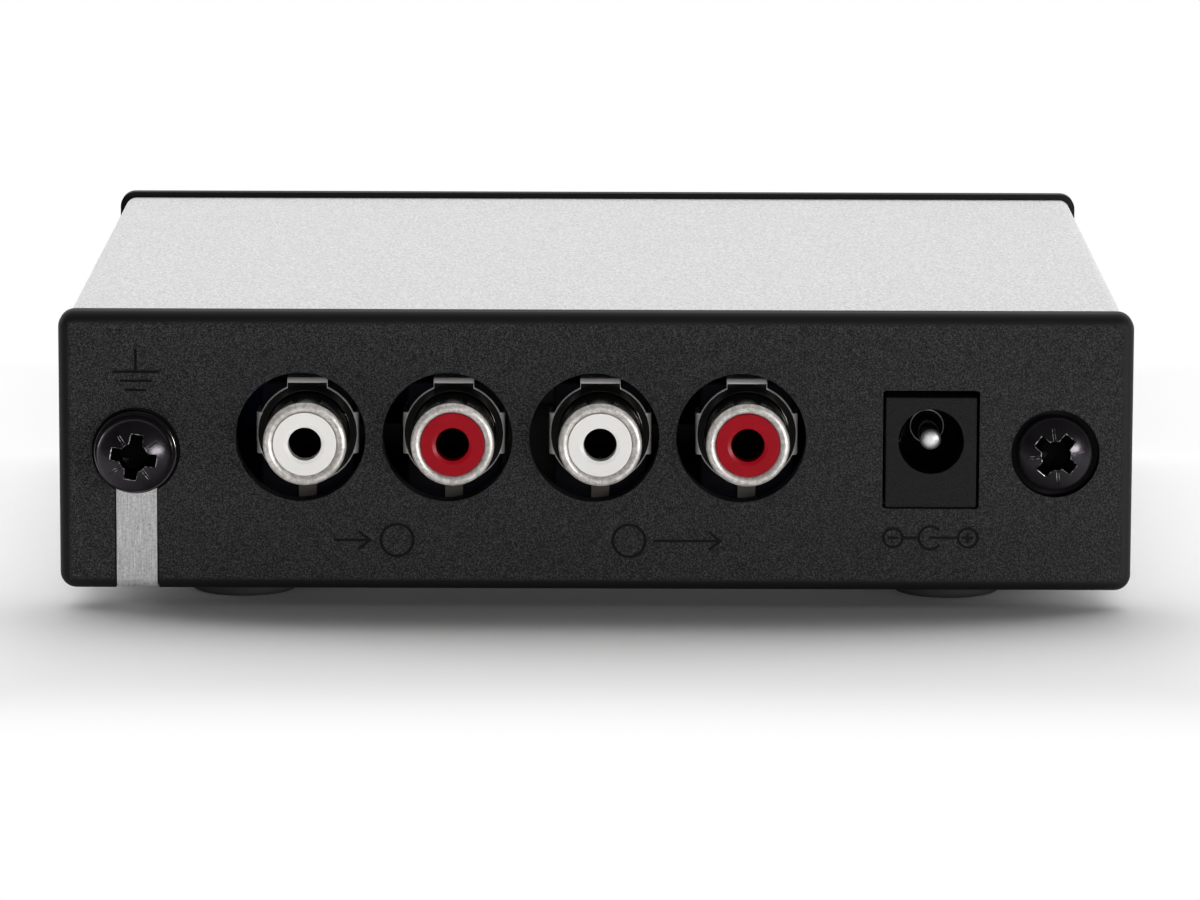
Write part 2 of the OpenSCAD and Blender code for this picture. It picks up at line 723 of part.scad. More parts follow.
module jack_contact() {
    color([0.78, 0.76, 0.7]) difference() {
        translate([0, 0, contact_front - contact_l]) cylinder(r = contact_r, h = contact_l);
        translate([0, 0, contact_front - contact_l + contact_end]) cylinder(d = socket_d, h = contact_l);
    }
}

module jack_piece(i, piece) {
    on_rear(jack_first_x + i * jack_pitch, jack_z) {
        if (piece == "housing") jack_housing();
        if (piece == "shell") jack_shell();
        if (piece == "ring") jack_ring(JACKS[i][1]);
        if (piece == "contact") jack_contact();
    }
}

// ---- power jack ----

module power_jack_body() {
    front = -power_recess;
    color([0.06, 0.06, 0.06]) on_rear(power_x, power_z) difference() {
        union() {
            translate([-power_w / 2, -power_bore_z, front - power_front_l])
                cube([power_w, power_h, power_front_l]);
            translate([-power_w / 2, -power_bore_z, front - power_l]) cube([power_w, power_rear_h, power_l]);
        }
        translate([0, 0, power_bore_bottom]) cylinder(d = power_bore_d, h = power_bore_l + through);
        translate([0, 0, front - power_l - through])
            cylinder(d = power_tail_d + 2 * housing_clear, h = power_l);
        // the window for the spring contact
        translate([-power_w, -window_h / 2, window_back])
            cube([power_w + window_inner_x, window_h, window_front - window_back]);
    }
}

module power_jack_pin() {
    tip = -power_recess - power_pin_recess;
    color([0.8, 0.8, 0.78]) on_rear(power_x, power_z) {
        translate([0, 0, power_bore_bottom]) cylinder(d = power_pin_d, h = tip - power_pin_d / 2 - power_bore_bottom);
        translate([0, 0, tip - power_pin_d / 2]) sphere(d = power_pin_d);
        translate([0, 0, power_bore_bottom]) cylinder(d = power_shoulder_d, h = power_shoulder_t);
        translate([0, 0, -power_recess - power_l - power_shoulder_t])
            cylinder(d = power_tail_d, h = power_l - power_bore_l + power_shoulder_t + power_shoulder_t / 2);
    }
}

// Seen from above: x sideways, y outwards along the jack. The root is held in the jack's back.
module spring_outline() {
    polygon([
        [spring_root_x, spring_root],
        [spring_crest_x - spring_t, spring_crest],
        [spring_tip_x - spring_t, spring_tip],
        [spring_tip_x, spring_tip],
        [spring_crest_x, spring_crest],
        [spring_root_x + spring_t, spring_root]
    ]);
}

module power_jack_spring() {
    color([0.8, 0.78, 0.72]) on_rear(power_x, power_z)
        translate([0, spring_w / 2, 0]) rotate([90, 0, 0])
            linear_extrude(spring_w) spring_outline();
}

// ---- front: level control, data socket, power light ----

module level_control_body() {
    body_back = level_body_front - level_body_l;
    color([0.35, 0.36, 0.36]) on_front(level_x, shaft_z) difference() {
        union() {
            translate([-level_body_w / 2, -level_z, body_back])
                cube([level_body_w, level_z + level_body_w / 2, level_body_l]);
            translate([0, 0, body_back]) cylinder(d = bushing_d, h = bushing_front - body_back);
        }
        translate([0, 0, body_back + level_body_l / 4])
            cylinder(d = shaft_d + 2 * shaft_fit, h = level_body_l - bushing_front - level_body_front);
    }
}

// A round bar with a flat along its end, the flat uppermost.
module flatted_bar(d, l, flat_l) {
    difference() {
        cylinder(d = d, h = l);
        translate([-d / 2, d / 2 - shaft_flat, l - flat_l]) cube([d, d, flat_l + through]);
    }
}

module level_shaft() {
    start = level_body_front - level_body_l * 3 / 4 + shaft_fit;
    color([0.7, 0.7, 0.68]) on_front(level_x, shaft_z)
        translate([0, 0, start]) flatted_bar(shaft_d, shaft_front - start, shaft_front - knob_gap);
}

module level_knob() {
    color([0.13, 0.13, 0.13]) on_front(level_x, shaft_z) difference() {
        translate([0, 0, knob_gap]) rotate_extrude() {
            square([grip_r, knob_l - knob_edge_r]);
            square([grip_r - knob_edge_r, knob_l]);
            translate([grip_r - knob_edge_r, knob_l - knob_edge_r]) intersection() {
                circle(knob_edge_r);
                square(knob_edge_r);
            }
        }
        for (k = [0 : knob_flutes - 1])
            rotate([0, 0, (k + 0.5) * 360 / knob_flutes]) translate([grip_r + flute_d / 4, 0, 0])
                cylinder(d = flute_d, h = knob_reach + through, $fn = 24);
        intersection() {
            cylinder(d = shaft_d + 2 * housing_clear, h = shaft_front + housing_clear);
            translate([-shaft_d, -shaft_d, 0])
                cube([2 * shaft_d, shaft_d + shaft_d / 2 - shaft_flat + housing_clear, knob_reach]);
        }
        translate([-pointer_w / 2, grip_r - knob_edge_r - pointer_l, knob_reach - pointer_t])
            cube([pointer_w, pointer_l, pointer_t + through]);
    }
}

module level_pointer() {
    color("white") on_front(level_x, shaft_z)
        translate([-pointer_w / 2, grip_r - knob_edge_r - pointer_l, knob_reach - pointer_t])
            cube([pointer_w, pointer_l, pointer_t]);
}

module data_mouth(extra) {
    w = data_mouth_w / 2 + extra;
    h = data_mouth_h / 2 + extra;
    polygon([[-w, -h], [w, -h], [w, h - data_mouth_bevel], [w - data_mouth_bevel, h],
        [data_mouth_bevel - w, h], [-w, h - data_mouth_bevel]]);
}

module data_socket_shell() {
    color([0.75, 0.75, 0.73]) on_front(data_x, data_z) difference() {
        translate([-data_w / 2, -data_h / 2, -data_l]) cube([data_w, data_h, data_l]);
        translate([-data_w / 2 + data_sheet, -data_h / 2 + data_sheet, -data_l - through])
            cube([data_w - 2 * data_sheet, data_h - 2 * data_sheet, data_l - data_sheet + through]);
        translate([0, 0, -data_l / 2]) linear_extrude(data_l) data_mouth(0);
    }
}

module data_socket_insert() {
    insert_w = data_w - 2 * data_sheet - 2 * housing_clear;
    insert_h = data_h - 2 * data_sheet - 2 * housing_clear;
    back = -data_l + data_sheet;
    front = -data_sheet - housing_clear;
    mouth_bottom = front - data_tongue_l;
    color([0.85, 0.85, 0.83]) on_front(data_x, data_z) {
        difference() {
            translate([-insert_w / 2, -insert_h / 2, back]) cube([insert_w, insert_h, front - back]);
            translate([0, 0, mouth_bottom]) linear_extrude(data_l) data_mouth(0);
        }
        translate([-data_tongue_w / 2, -data_tongue_h / 2, mouth_bottom - through])
            cube([data_tongue_w, data_tongue_h, data_tongue_l + through]);
    }
}

module power_light() {
    color([0.2, 0.75, 0.3]) on_front(light_x, light_axis_z) {
        translate([0, 0, light_reach - light_d / 2]) sphere(d = light_d);
        translate([0, 0, light_back]) cylinder(d = light_d, h = light_reach - light_d / 2 - light_back);
        translate([0, 0, light_back]) cylinder(d = light_rim_d, h = light_rim_t);
    }
}

module power_light_holder() {
    color([0.07, 0.07, 0.07]) on_front(light_x, light_axis_z)
        translate([-light_rim_d / 2, -light_z, light_back - light_rim_d])
            cube([light_rim_d, light_z + light_rim_d / 2, light_rim_d]);
}

// ---- components on the board ----

module amplifier_chips() {
    legs = 4;
    leg_w = 1.2;
    leg_t = 0.6;
    under = 0.5;
    color([0.1, 0.1, 0.1])
        for (place = amplifier_places) on_board(place) {
            translate([-chip_l / 2, -chip_w / 2, under]) cube([chip_l, chip_w, chip_h - under]);
            for (k = [0 : legs - 1], side = [-1, 1])
                translate([(k - (legs - 1) / 2) * chip_l / legs, side * (chip_w + leg_t) / 2, chip_h / 4])
                    cube([leg_w, 2 * leg_t, chip_h / 2], center = true);
        }
}

module electrolytic_capacitors() {
    color([0.1, 0.12, 0.2])
        for (place = electrolytic_places) on_board(place) cylinder(d = can_d, h = can_h);
}

module film_capacitors() {
    color([0.6, 0.12, 0.1])
        for (place = film_places)
            on_board(place) translate([-film_w / 2, 0, 0]) cube([film_w, film_l, film_h]);
}

module resistor() {
    lead_d = 0.6;
    lead_reach = 1.5;
    span = resistor_l + 2 * lead_reach;
    height = resistor_d / 2;
    translate([-resistor_l / 2, 0, height]) rotate([0, 90, 0]) cylinder(d = resistor_d, h = resistor_l);
    translate([-span / 2, 0, height]) rotate([0, 90, 0]) cylinder(d = lead_d, h = span, $fn = 16);
    for (side = [-1, 1])
        translate([side * (span - lead_d) / 2, 0, 0]) cylinder(d = lead_d, h = height, $fn = 16);
}

module resistors() {
    color([0.35, 0.55, 0.7])
        for (x = resistor_rows, k = [0 : resistors_in_row - 1])
            on_board([x, resistor_first + resistor_pitch * k]) resistor();
}

module converter_chip() {
    legs = 8;
    leg_w = 0.5;
    leg_reach = 1;
    under = 0.1;
    leg_pitch = converter_w * 0.8 / (legs - 1);
    color([0.1, 0.1, 0.1]) on_board(converter_place) {
        translate([-converter_w / 2, -converter_w / 2, under])
            cube([converter_w, converter_w, converter_h - under]);
        for (turn = [0 : 90 : 270], k = [0 : legs - 1])
            rotate([0, 0, turn])
                translate([(k - (legs - 1) / 2) * leg_pitch - leg_w / 2, converter_w / 2 - under, 0])
                    cube([leg_w, leg_reach + under, converter_h / 2]);
    }
}

module clock_crystal() {
    r = crystal_w / 2;
    color([0.75, 0.75, 0.73]) on_board(crystal_place) linear_extrude(crystal_h) {
        square([crystal_l - crystal_w, crystal_w], center = true);
        for (side = [-1, 1]) translate([side * (crystal_l / 2 - r), 0]) circle(r);
    }
}

module voltage_regulator() {
    body_t = 4.4;
    tab_t = 1.2;
    stand = 2.5;
    leg_w = 0.8;
    leg_pitch = 2.54;
    color([0.12, 0.12, 0.12]) on_board(regulator_place) {
        translate([-regulator_w / 2, 0, stand]) cube([regulator_w, body_t, (regulator_h - stand) * 0.7]);
        translate([-regulator_w / 2, 0, stand]) cube([regulator_w, tab_t, regulator_h - stand]);
        for (k = [-1, 0, 1])
            translate([k * leg_pitch - leg_w / 2, tab_t, 0]) cube([leg_w, leg_w, stand + leg_w]);
    }
}

sleeve();
rear_panel();
front_panel();
circuit_board();
rubber_feet();
earth_strap();
earth_washer();
earth_screw();
rear_case_screw();
front_case_screws();
power_jack_body();
power_jack_pin();
power_jack_spring();
level_control_body();
level_shaft();
level_knob();
level_pointer();
data_socket_shell();
data_socket_insert();
power_light();
power_light_holder();
amplifier_chips();
electrolytic_capacitors();
film_capacitors();
resistors();
converter_chip();
clock_crystal();
voltage_regulator();
for (i = [0 : len(JACKS) - 1], piece = JACK_PARTS)
    jack_piece(i, piece);
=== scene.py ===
# %% [markdown]
# # A phono preamp, modelled from behind
# A phono preamp lifts the faint signal of a turntable until an amplifier can use it. This one is
# an aluminium sleeve, shut at both ends by black plastic panels. Its back holds an earth screw,
# four phono jacks, a power jack and a case screw. A measured CAD model of it exists already.
# The lesson keeps that model as a frame, and gives each visible piece its finer shape and finish.

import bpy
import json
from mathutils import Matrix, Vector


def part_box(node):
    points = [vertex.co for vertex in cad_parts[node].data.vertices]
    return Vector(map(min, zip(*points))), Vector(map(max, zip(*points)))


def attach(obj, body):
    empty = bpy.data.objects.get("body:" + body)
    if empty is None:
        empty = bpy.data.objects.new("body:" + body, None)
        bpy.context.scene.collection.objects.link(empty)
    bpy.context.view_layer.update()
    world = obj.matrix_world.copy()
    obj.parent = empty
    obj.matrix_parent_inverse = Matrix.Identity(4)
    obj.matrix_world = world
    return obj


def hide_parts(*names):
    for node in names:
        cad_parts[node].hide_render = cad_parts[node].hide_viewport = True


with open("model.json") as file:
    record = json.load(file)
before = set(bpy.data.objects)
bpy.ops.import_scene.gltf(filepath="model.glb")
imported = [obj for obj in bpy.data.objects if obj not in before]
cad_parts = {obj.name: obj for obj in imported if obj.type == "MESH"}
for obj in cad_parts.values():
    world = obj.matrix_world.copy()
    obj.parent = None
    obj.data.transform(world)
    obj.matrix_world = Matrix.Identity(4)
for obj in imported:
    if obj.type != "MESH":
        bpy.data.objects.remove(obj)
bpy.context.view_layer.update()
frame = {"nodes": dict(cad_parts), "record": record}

# %% [markdown]
# ## Measures, taken from the frame
# The frame is in metres, but a watchmaker's bench works in millimetres. So each piece is built
# in millimetres round the bench's own origin, with its face up, and then carried to its place.
# The place is a matrix: it turns the piece towards the back or the front, moves it, and shrinks
# millimetres to metres. The sizes come from the frame's boxes, so nothing is fitted by eye.

# %% Sizes and places
import json
import math
from contextlib import contextmanager

import bmesh
import bpy
from mathutils import Matrix, Vector

MM = 0.001
PLACES = {mount["name"]: Vector(mount["pos_m"]) / MM for mount in frame["record"]["mounts"]}


def box_mm(node):
    """The lowest and highest corner of one of the frame's nodes, in millimetres."""
    low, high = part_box(node)
    return low / MM, high / MM


back_low, back_high = box_mm("rear_panel")
PANEL_W = back_high.x - back_low.x
PANEL_H = back_high.z - back_low.z
PANEL_T = 2.5
FOOT_H = back_low.z
BACK_Y = back_low.y
FRONT_Y = box_mm("front_panel")[1].y


def spun(degrees, axis="Z"):
    """A turn round an axis, as a matrix."""
    return Matrix.Rotation(math.radians(degrees), 4, axis)


def at_back(x, height, y=BACK_Y, facing=0):
    """The place of a piece on the back panel: x to the right, height over the case's edge."""
    there = Matrix.Translation(Vector((x, y, FOOT_H + height)) * MM)
    return there @ spun(facing) @ spun(90, "X") @ Matrix.Scale(MM, 4)


def at_front(x, height):
    """The same on the front panel, with the face towards +Y."""
    return at_back(x, height, FRONT_Y, 180)


print(f"panels {PANEL_W:.1f} x {PANEL_H:.1f} mm, faces at y {BACK_Y:.1f} and {FRONT_Y:.1f}")

# %% [markdown]
# ## The camera
# A long lens, set back about seven case lengths, keeps the box nearly free of perspective. It
# looks down by under ten degrees, so the light top shows as a narrow trapezium above the panel.

# %% Camera
CAMERA_AT = Vector((0.96, -718.03, 130.37)) * MM
CAMERA_DOWN = math.radians(9.693)
CAMERA_LEFT = math.radians(0.046)
CAMERA_ROLL = math.radians(0.175)

camera = bpy.data.objects.new("camera", bpy.data.cameras.new("camera"))
bpy.context.collection.objects.link(camera)
camera.location = CAMERA_AT
camera.rotation_euler = (math.pi / 2 - CAMERA_DOWN, 0, CAMERA_LEFT)
camera.rotation_euler.rotate_axis("Z", CAMERA_ROLL)
camera.data.lens = 207
camera.data.sensor_width = 36
camera.data.clip_start = 0.01
bpy.context.scene.camera = camera
bpy.context.scene.view_settings.view_transform = "Standard"

# %% [markdown]
# ## Shader maths as plain sums
# A finish is a small network of nodes. Wired one by one, a sum of three terms fills a page. Here
# a Number wraps one output, and +, - and * on it add the Math nodes. Every other kind of node
# comes from one method, node(), which takes its type, its settings and its inputs.


# %% Numbers and shading
class Number:
    """A node's output that takes part in sums."""

    def __init__(self, shading, socket):
        self.shading, self.socket = shading, socket

    def maths(self, operation, *values):
        return self.shading.node(
            "ShaderNodeMath", {"operation": operation}, dict(enumerate(values))
        )

    def __add__(self, other):
        return self.maths("ADD", self, other)

    def __mul__(self, other):
        return self.maths("MULTIPLY", self, other)

    def __sub__(self, other):
        return self.maths("SUBTRACT", self, other)

    def __rsub__(self, other):
        return self.maths("SUBTRACT", other, self)

    def __abs__(self):
        return self.maths("ABSOLUTE", self)

    __radd__ = __add__
    __rmul__ = __mul__

    def root(self):
        return self.maths("SQRT", self)

    def wrapped(self, low, high):
        """The value, led back between two limits again and again."""
        return self.maths("WRAP", self, high, low)

    def at_most(self, other):
        return self.maths("MINIMUM", self, other)

    def at_least(self, other):
        return self.maths("MAXIMUM", self, other)


class Shading:
    """The nodes of one material, or of the world."""

    def __init__(self, owner):
        owner.use_nodes = True
        self.tree = owner.node_tree
        self.tree.nodes.clear()

    def node(self, kind, settings=None, inputs=None, output=0):
        """Any node: its settings come first, then the values or links of its inputs."""
        node = self.tree.nodes.new(kind)
        for name, value in (settings or {}).items():
            if name == "stops":
                while len(node.color_ramp.elements) < len(value):
                    node.color_ramp.elements.new(0.5)
                for stop, (position, colour) in zip(node.color_ramp.elements, value):
                    stop.position, stop.color = position, colour
            else:
                setattr(node, name, value)
        for name, value in (inputs or {}).items():
            if isinstance(value, Number):
                self.tree.links.new(value.socket, node.inputs[name])
            else:
                node.inputs[name].default_value = value
        return Number(self, node.outputs[output]) if node.outputs else None

    def step(self, value, low, high, start=0.0, end=1.0):
        """Start below low, end above high, and a smooth passage between."""
        inputs = {0: value, 1: low, 2: high, 3: start, 4: end}
        return self.node("ShaderNodeMapRange", {"interpolation_type": "SMOOTHSTEP"}, inputs)

    def rays(self):
        """1 for a ray from the camera, for a mirrored ray, and for a ray through glass."""
        return [self.node("ShaderNodeLightPath", output=i) for i in (0, 3, 6)]

    def blend(self, share, first, second):
        """Two shaders, mixed by share."""
        return self.node("ShaderNodeMixShader", None, {0: share, 1: first, 2: second})


print("sums of nodes can be written out")

# %% [markdown]
# ## A finish and its patterns
# Every finish here starts from the object's own coordinates, turned into millimetres. So a
# pattern keeps its true scale, and sits still when a piece moves or the camera goes round it.
# Only colour, roughness and the surface's relief vary over a piece. What is the same all over,
# such as the metal or the clear coat, is set on the shader itself.


# %% Finishes
class Finish(Shading):
    """A material under construction, with its pattern's coordinates in millimetres."""

    def __init__(self, name):
        self.material = bpy.data.materials.new(name)
        super().__init__(self.material)
        place = self.node("ShaderNodeTexCoord", output=3)
        self.place = self.node(
            "ShaderNodeVectorMath", {"operation": "SCALE"}, {0: place, "Scale": 1 / MM}
        )
        self.x, self.y, self.z = (
            self.node("ShaderNodeSeparateXYZ", None, {0: self.place}, i) for i in range(3)
        )

    def stretched(self, x, y, z):
        """The place, measured with another unit along each axis."""
        return self.node(
            "ShaderNodeVectorMath", {"operation": "DIVIDE"}, {0: self.place, 1: (x, y, z)}
        )

    def noise(self, size, detail=2.0, rough=0.5, place=None):
        """Soft blotches, about size millimetres apart."""
        inputs = {"Vector": place or self.place, "Scale": 1 / size, "Detail": detail}
        return self.node("ShaderNodeTexNoise", None, {**inputs, "Roughness": rough})

    def mix(self, share, colour, other):
        """A colour between two, by share."""
        return self.node(
            "ShaderNodeMix", {"data_type": "RGBA"}, {0: share, 6: colour, 7: other}, 2
        )

    def joined(self, x, y, z):
        """A vector of three numbers."""
        return self.node("ShaderNodeCombineXYZ", None, {0: x, 1: y, 2: z})

    def relief(self, height, depth):
        """A bump of that depth in millimetres, where height goes from 0 to 1."""
        return self.node("ShaderNodeBump", None, {"Height": height, "Distance": depth * MM})

    def paint(self, **sockets):
        """Wires the shader. Names use _ for a space, such as Base_Color."""
        inputs = {name.replace("_", " "): value for name, value in sockets.items()}
        shader = self.node("ShaderNodeBsdfPrincipled", None, inputs)
        self.node("ShaderNodeOutputMaterial", None, {0: shader})
        return self.material


def grey(value, warm=0.0):
    """A grey: a little yellower where warm is above 0, and bluer where it is below."""
    return (value * (1 + max(warm, 0)), value, value * (1 - warm), 1)


print("finishes can be painted")

# %% [markdown]
# ## Plastics
# The end panels come from a spark-eroded mould: grains of an eighth of a millimetre break up the
# gloss into a fine sparkle, and the grains' glints are painted into the colour as light specks.
# The mould's rounded edge was left smooth, so the relief fades out there, and that edge is
# painted darker, as the shade on it. Moulded trim, such as the jacks' rings and bodies, is
# plainer: a faint waviness and a slow change of gloss are enough to keep it from looking like a
# flat colour.

# %% Textured black for the end panels
def textured(name, dark, light, smooth_shaded_edge=None):
    """Black plastic whose grains are painted lighter, as their glints, on a darker ground."""
    finish = Finish(name)
    grain = finish.noise(0.11, detail=3.0, rough=0.75)
    sparkle = finish.step(grain, 0.42, 0.7)
    colour = finish.mix(sparkle, grey(dark, -0.06), grey(light, -0.06))
    if smooth_shaded_edge:
        middle = FOOT_H + PANEL_H / 2
        to_side = PANEL_W / 2 - abs(finish.x)
        to_top = PANEL_H / 2 - abs(finish.z - middle)
        # The rounded edge loses its grains and is painted darker, as the shade on it.
        inside = finish.step(to_side.at_most(to_top), 0.8, 1.4)
        colour = finish.mix(inside, grey(smooth_shaded_edge, -0.06), colour)
        sparkle = sparkle * inside
    return finish.paint(
        Base_Color=colour,
        Roughness=0.64 - 0.12 * sparkle,
        Specular_IOR_Level=0.22,
        Normal=finish.relief(sparkle, 0.03),
    )


TEXTURED_BLACK = textured("textured black plastic", 0.002, 0.08, smooth_shaded_edge=0.004)
POWER_BLACK = textured("power jack black plastic", 0.004, 0.027)
print("textured plastics:", len(bpy.data.materials))


# %% Moulded plastics
def moulded(name, colour, roughness, wave=0.004, coat=0.0, shine=0.3, shade=0.86):
    """Plain moulded plastic, with a faint waviness and a slow change of gloss."""
    finish = Finish(name)
    slow = finish.noise(2.5)
    fine = finish.noise(0.12, detail=3.0)
    darker = tuple(shade * channel for channel in colour[:3]) + (1,)
    return finish.paint(
        Base_Color=finish.mix(0.35 * slow + 0.4 * fine, darker, colour),
        Roughness=roughness - 0.05 + 0.1 * fine,
        Specular_IOR_Level=shine,
        Coat_Weight=coat,
        Normal=finish.relief(fine, wave),
    )


# Painted shade: a darker black for the engraved marks and the screws' seats.
MARK_SHADE_BLACK = moulded("black painted as shade in marks", grey(0.006), 0.6, shine=0.1)
HOUSING_BLACK = moulded("jack housing black plastic", (0.0025, 0.0025, 0.004, 1), 0.3, shine=0.06)
# Painted shade: a near-black for faces deep in bores and recesses.
BORE_SHADE_BLACK = moulded("painted shade inside a bore", grey(0.0012), 0.35, shine=0.03)
RING_WHITE = moulded("white plastic", (0.88, 0.865, 0.83, 1), 0.38)
RING_RED = moulded("red plastic", (0.46, 0.005, 0.015, 1), 0.34, shine=0.14, shade=0.45)
OFF_WHITE = moulded("off-white plastic", (0.64, 0.63, 0.6, 1), 0.42)
KNOB_BLACK = moulded("knob black plastic", grey(0.024), 0.46)
RUBBER = moulded("foot rubber", grey(0.02), 0.8, wave=0.012)
print("plastics:", len(bpy.data.materials))

# %% [markdown]
# ## Metals
# The sleeve is bead-blasted and anodised: thousands of tiny dents scatter the light, so it looks
# like pale, finely speckled paper rather than a mirror. The earth strap is brushed along its
# length, which is one noise stretched until it becomes lines. The jacks' shells are nickel:
# satin on the rolled barrel, and nearly a mirror on the flat flange behind it. That flange is
# painted dark, as the dark it reflects, and the leg below the barrel as the shade under it.


# %% Sleeve, strap and screws
def blasted_aluminium():
    finish = Finish("bead-blasted aluminium")
    dents = finish.noise(0.22, detail=4.0, rough=0.65)
    speckle = finish.step(dents, 0.34, 0.68)
    cloud = finish.noise(9.0)
    tone = finish.mix(speckle, grey(0.52), grey(0.92))
    return finish.paint(
        Base_Color=finish.mix(0.25 * cloud, tone, grey(0.72)),
        Metallic=0.35,
        Roughness=0.62 + 0.1 * dents,
        Normal=finish.relief(speckle, 0.011),
    )


def brushed_steel():
    """Lines along the strap: up its face, and back along its tongue."""
    finish = Finish("brushed steel")
    lines = finish.noise(1.0, detail=3.0, rough=0.7, place=finish.stretched(0.08, 3, 3))
    wear = finish.noise(0.22, detail=4.0, rough=0.75)
    share = finish.step(0.5 * lines + 0.5 * wear, 0.3, 0.7)
    return finish.paint(
        Base_Color=finish.mix(share, grey(0.3), grey(0.77)),
        Metallic=0.5,
        Roughness=0.42 + 0.12 * lines + 0.06 * wear,
        Normal=finish.relief(lines, 0.006),
    )


def black_oxide():
    finish = Finish("black oxide steel")
    fine = finish.noise(0.25, detail=3.0)
    slow = finish.noise(1.6)
    return finish.paint(
        Base_Color=finish.mix(slow, (0.012, 0.01, 0.012, 1), (0.036, 0.031, 0.037, 1)),
        Metallic=0.7,
        Roughness=0.18 + 0.12 * fine,
        Normal=finish.relief(fine, 0.006),
    )


def worn_edge():
    """Black steel whose oxide has been rubbed off in spots."""
    finish = Finish("worn edge of black steel")
    bare = finish.step(finish.noise(0.45, detail=3.0), 0.42, 0.6)
    return finish.paint(
        Base_Color=finish.mix(bare, grey(0.03), grey(0.5)),
        Metallic=0.6,
        Roughness=0.5 - 0.08 * bare,
        Normal=finish.relief(bare, 0.01),
    )


def nickel(name, tone, roughness, wave, metal=1.0, warm=0.02):
    """Nickel plate: satin or bright, by roughness, with a faint unevenness of the sheet."""
    finish = Finish(name)
    fine = finish.noise(0.16, detail=4.0, rough=0.7)
    slow = finish.noise(1.4)
    return finish.paint(
        Base_Color=finish.mix(0.6 * fine + 0.3 * slow, grey(0.6 * tone, warm), grey(tone, warm)),
        Metallic=metal,
        Roughness=roughness + 0.1 * (fine - 0.5),
        Normal=finish.relief(fine, wave),
    )


ALUMINIUM = blasted_aluminium()
BRUSHED = brushed_steel()
BLACK_OXIDE = black_oxide()
SATIN_NICKEL = nickel("satin nickel", 0.8, 0.4, 0.008, metal=0.6)
BRIGHT_NICKEL = nickel("bright nickel", 0.62, 0.14, 0.002)
# Painted dark reflection and shade: flange face, washer edge and the pin's sides in the bore.
NICKEL_PAINTED_DARK = nickel("polished nickel painted dark", 0.11, 0.12, 0.001, warm=0.05)
# Painted shade: the jack's leg, a dull brownish sheet darkened as the shade under the barrel.
SHADED_SHEET = nickel("sheet metal painted with shade", 0.06, 0.42, 0.012, metal=0.5, warm=0.12)
# Painted shade: the centre contact's bronze, darkened as the shade deep in the jack's hole.
SHADED_CONTACT = nickel("contact bronze painted dark as shade", 0.012, 0.4, 0.004)
WORN_EDGE = worn_edge()
print("metals:", [m.name for m in bpy.data.materials if "nickel" in m.name or "steel" in m.name])

# %% [markdown]
# ## Bench work: the few moves that make every piece
# Each piece starts as a primitive. It is then shaped in edit mode, as by hand, and the faces or
# edges to work on are picked by a rule on their place or direction. An operator acts on all that
# is selected, so the bench is cleared before each new start.

# %% Start, pick and soften
SQUARELY = 0.9  # a face looks squarely one way when its normal goes so far along it


def clear_bench():
    if bpy.context.mode != "OBJECT":
        bpy.ops.object.mode_set(mode="OBJECT")
    bpy.ops.object.select_all(action="DESELECT")


def started(name):
    """Names the primitive that was just added, and returns it."""
    piece = bpy.context.active_object
    piece.name = piece.data.name = name
    bpy.ops.object.transform_apply(location=True, rotation=True, scale=True)
    return piece


def take(piece):
    """Makes this piece the only one that operators act on."""
    clear_bench()
    piece.select_set(True)
    bpy.context.view_layer.objects.active = piece


@contextmanager
def editing(piece):
    """Edit mode on this piece alone, and object mode again afterwards."""
    take(piece)
    bpy.ops.object.mode_set(mode="EDIT")
    yield
    bpy.ops.object.mode_set(mode="OBJECT")


def pick_faces(piece, rule):
    """In edit mode, selects the faces whose middle and normal the rule accepts."""
    bpy.ops.mesh.select_mode(type="FACE")
    bpy.ops.mesh.select_all(action="DESELECT")
    shape = bmesh.from_edit_mesh(piece.data)
    for face in shape.faces:
        face.select_set(bool(rule(face.calc_center_median(), face.normal)))
    shape.select_flush_mode()
    bmesh.update_edit_mesh(piece.data)


def between(inner=-1, outer=math.inf, low=-math.inf, high=math.inf, up=-2):
    """A rule for faces: between two radii and two heights, and looking up by so much."""

    def rule(middle, normal):
        return inner < middle.xy.length < outer and low < middle.z < high and normal.z > up

    return rule


def resize_faces(piece, towards, scale, centre):
    """Makes the faces that look one way smaller or larger, as seen from a centre."""
    with editing(piece):
        pick_faces(piece, lambda middle, normal: normal.dot(Vector(towards)) > SQUARELY)
        bpy.ops.transform.resize(value=scale, center_override=centre)


def pick_edges(piece, rule, sharper_than):
    """In edit mode, selects edges whose ends the rule accepts, bent by at least an angle."""
    bpy.ops.mesh.select_mode(type="EDGE")
    bpy.ops.mesh.select_all(action="DESELECT")
    shape = bmesh.from_edit_mesh(piece.data)
    for edge in shape.edges:
        bent = edge.calc_face_angle(math.pi) >= math.radians(sharper_than)
        edge.select_set(bool(bent and rule(*[corner.co for corner in edge.verts])))
    bmesh.update_edit_mesh(piece.data)


def soften(piece, width, rule, segments=2, sharper_than=40, clamp=True):
    """Bevels the edges that the rule picks. Clamp keeps a bevel from running into the next."""
    with editing(piece):
        pick_edges(piece, rule, sharper_than)
        bpy.ops.mesh.bevel(offset=width, segments=segments, affect="EDGES", clamp_overlap=clamp)


def anywhere(*ends):
    return True


def upright(a, b):
    return abs(a.z - b.z) > 1


def block(name, low, high):
    """A block between two corners: the start of what is shaped from solid."""
    low, high = Vector(low), Vector(high)
    clear_bench()
    bpy.ops.mesh.primitive_cube_add(size=1, location=(low + high) / 2, scale=high - low)
    return started(name)


def post(name, width, depth, low, high):
    """A block round the bench's upright axis."""
    return block(name, (-width / 2, -depth / 2, low), (width / 2, depth / 2, high))


print("the bench is ready")

# %% Turn on a lathe
HAIR = 0.001


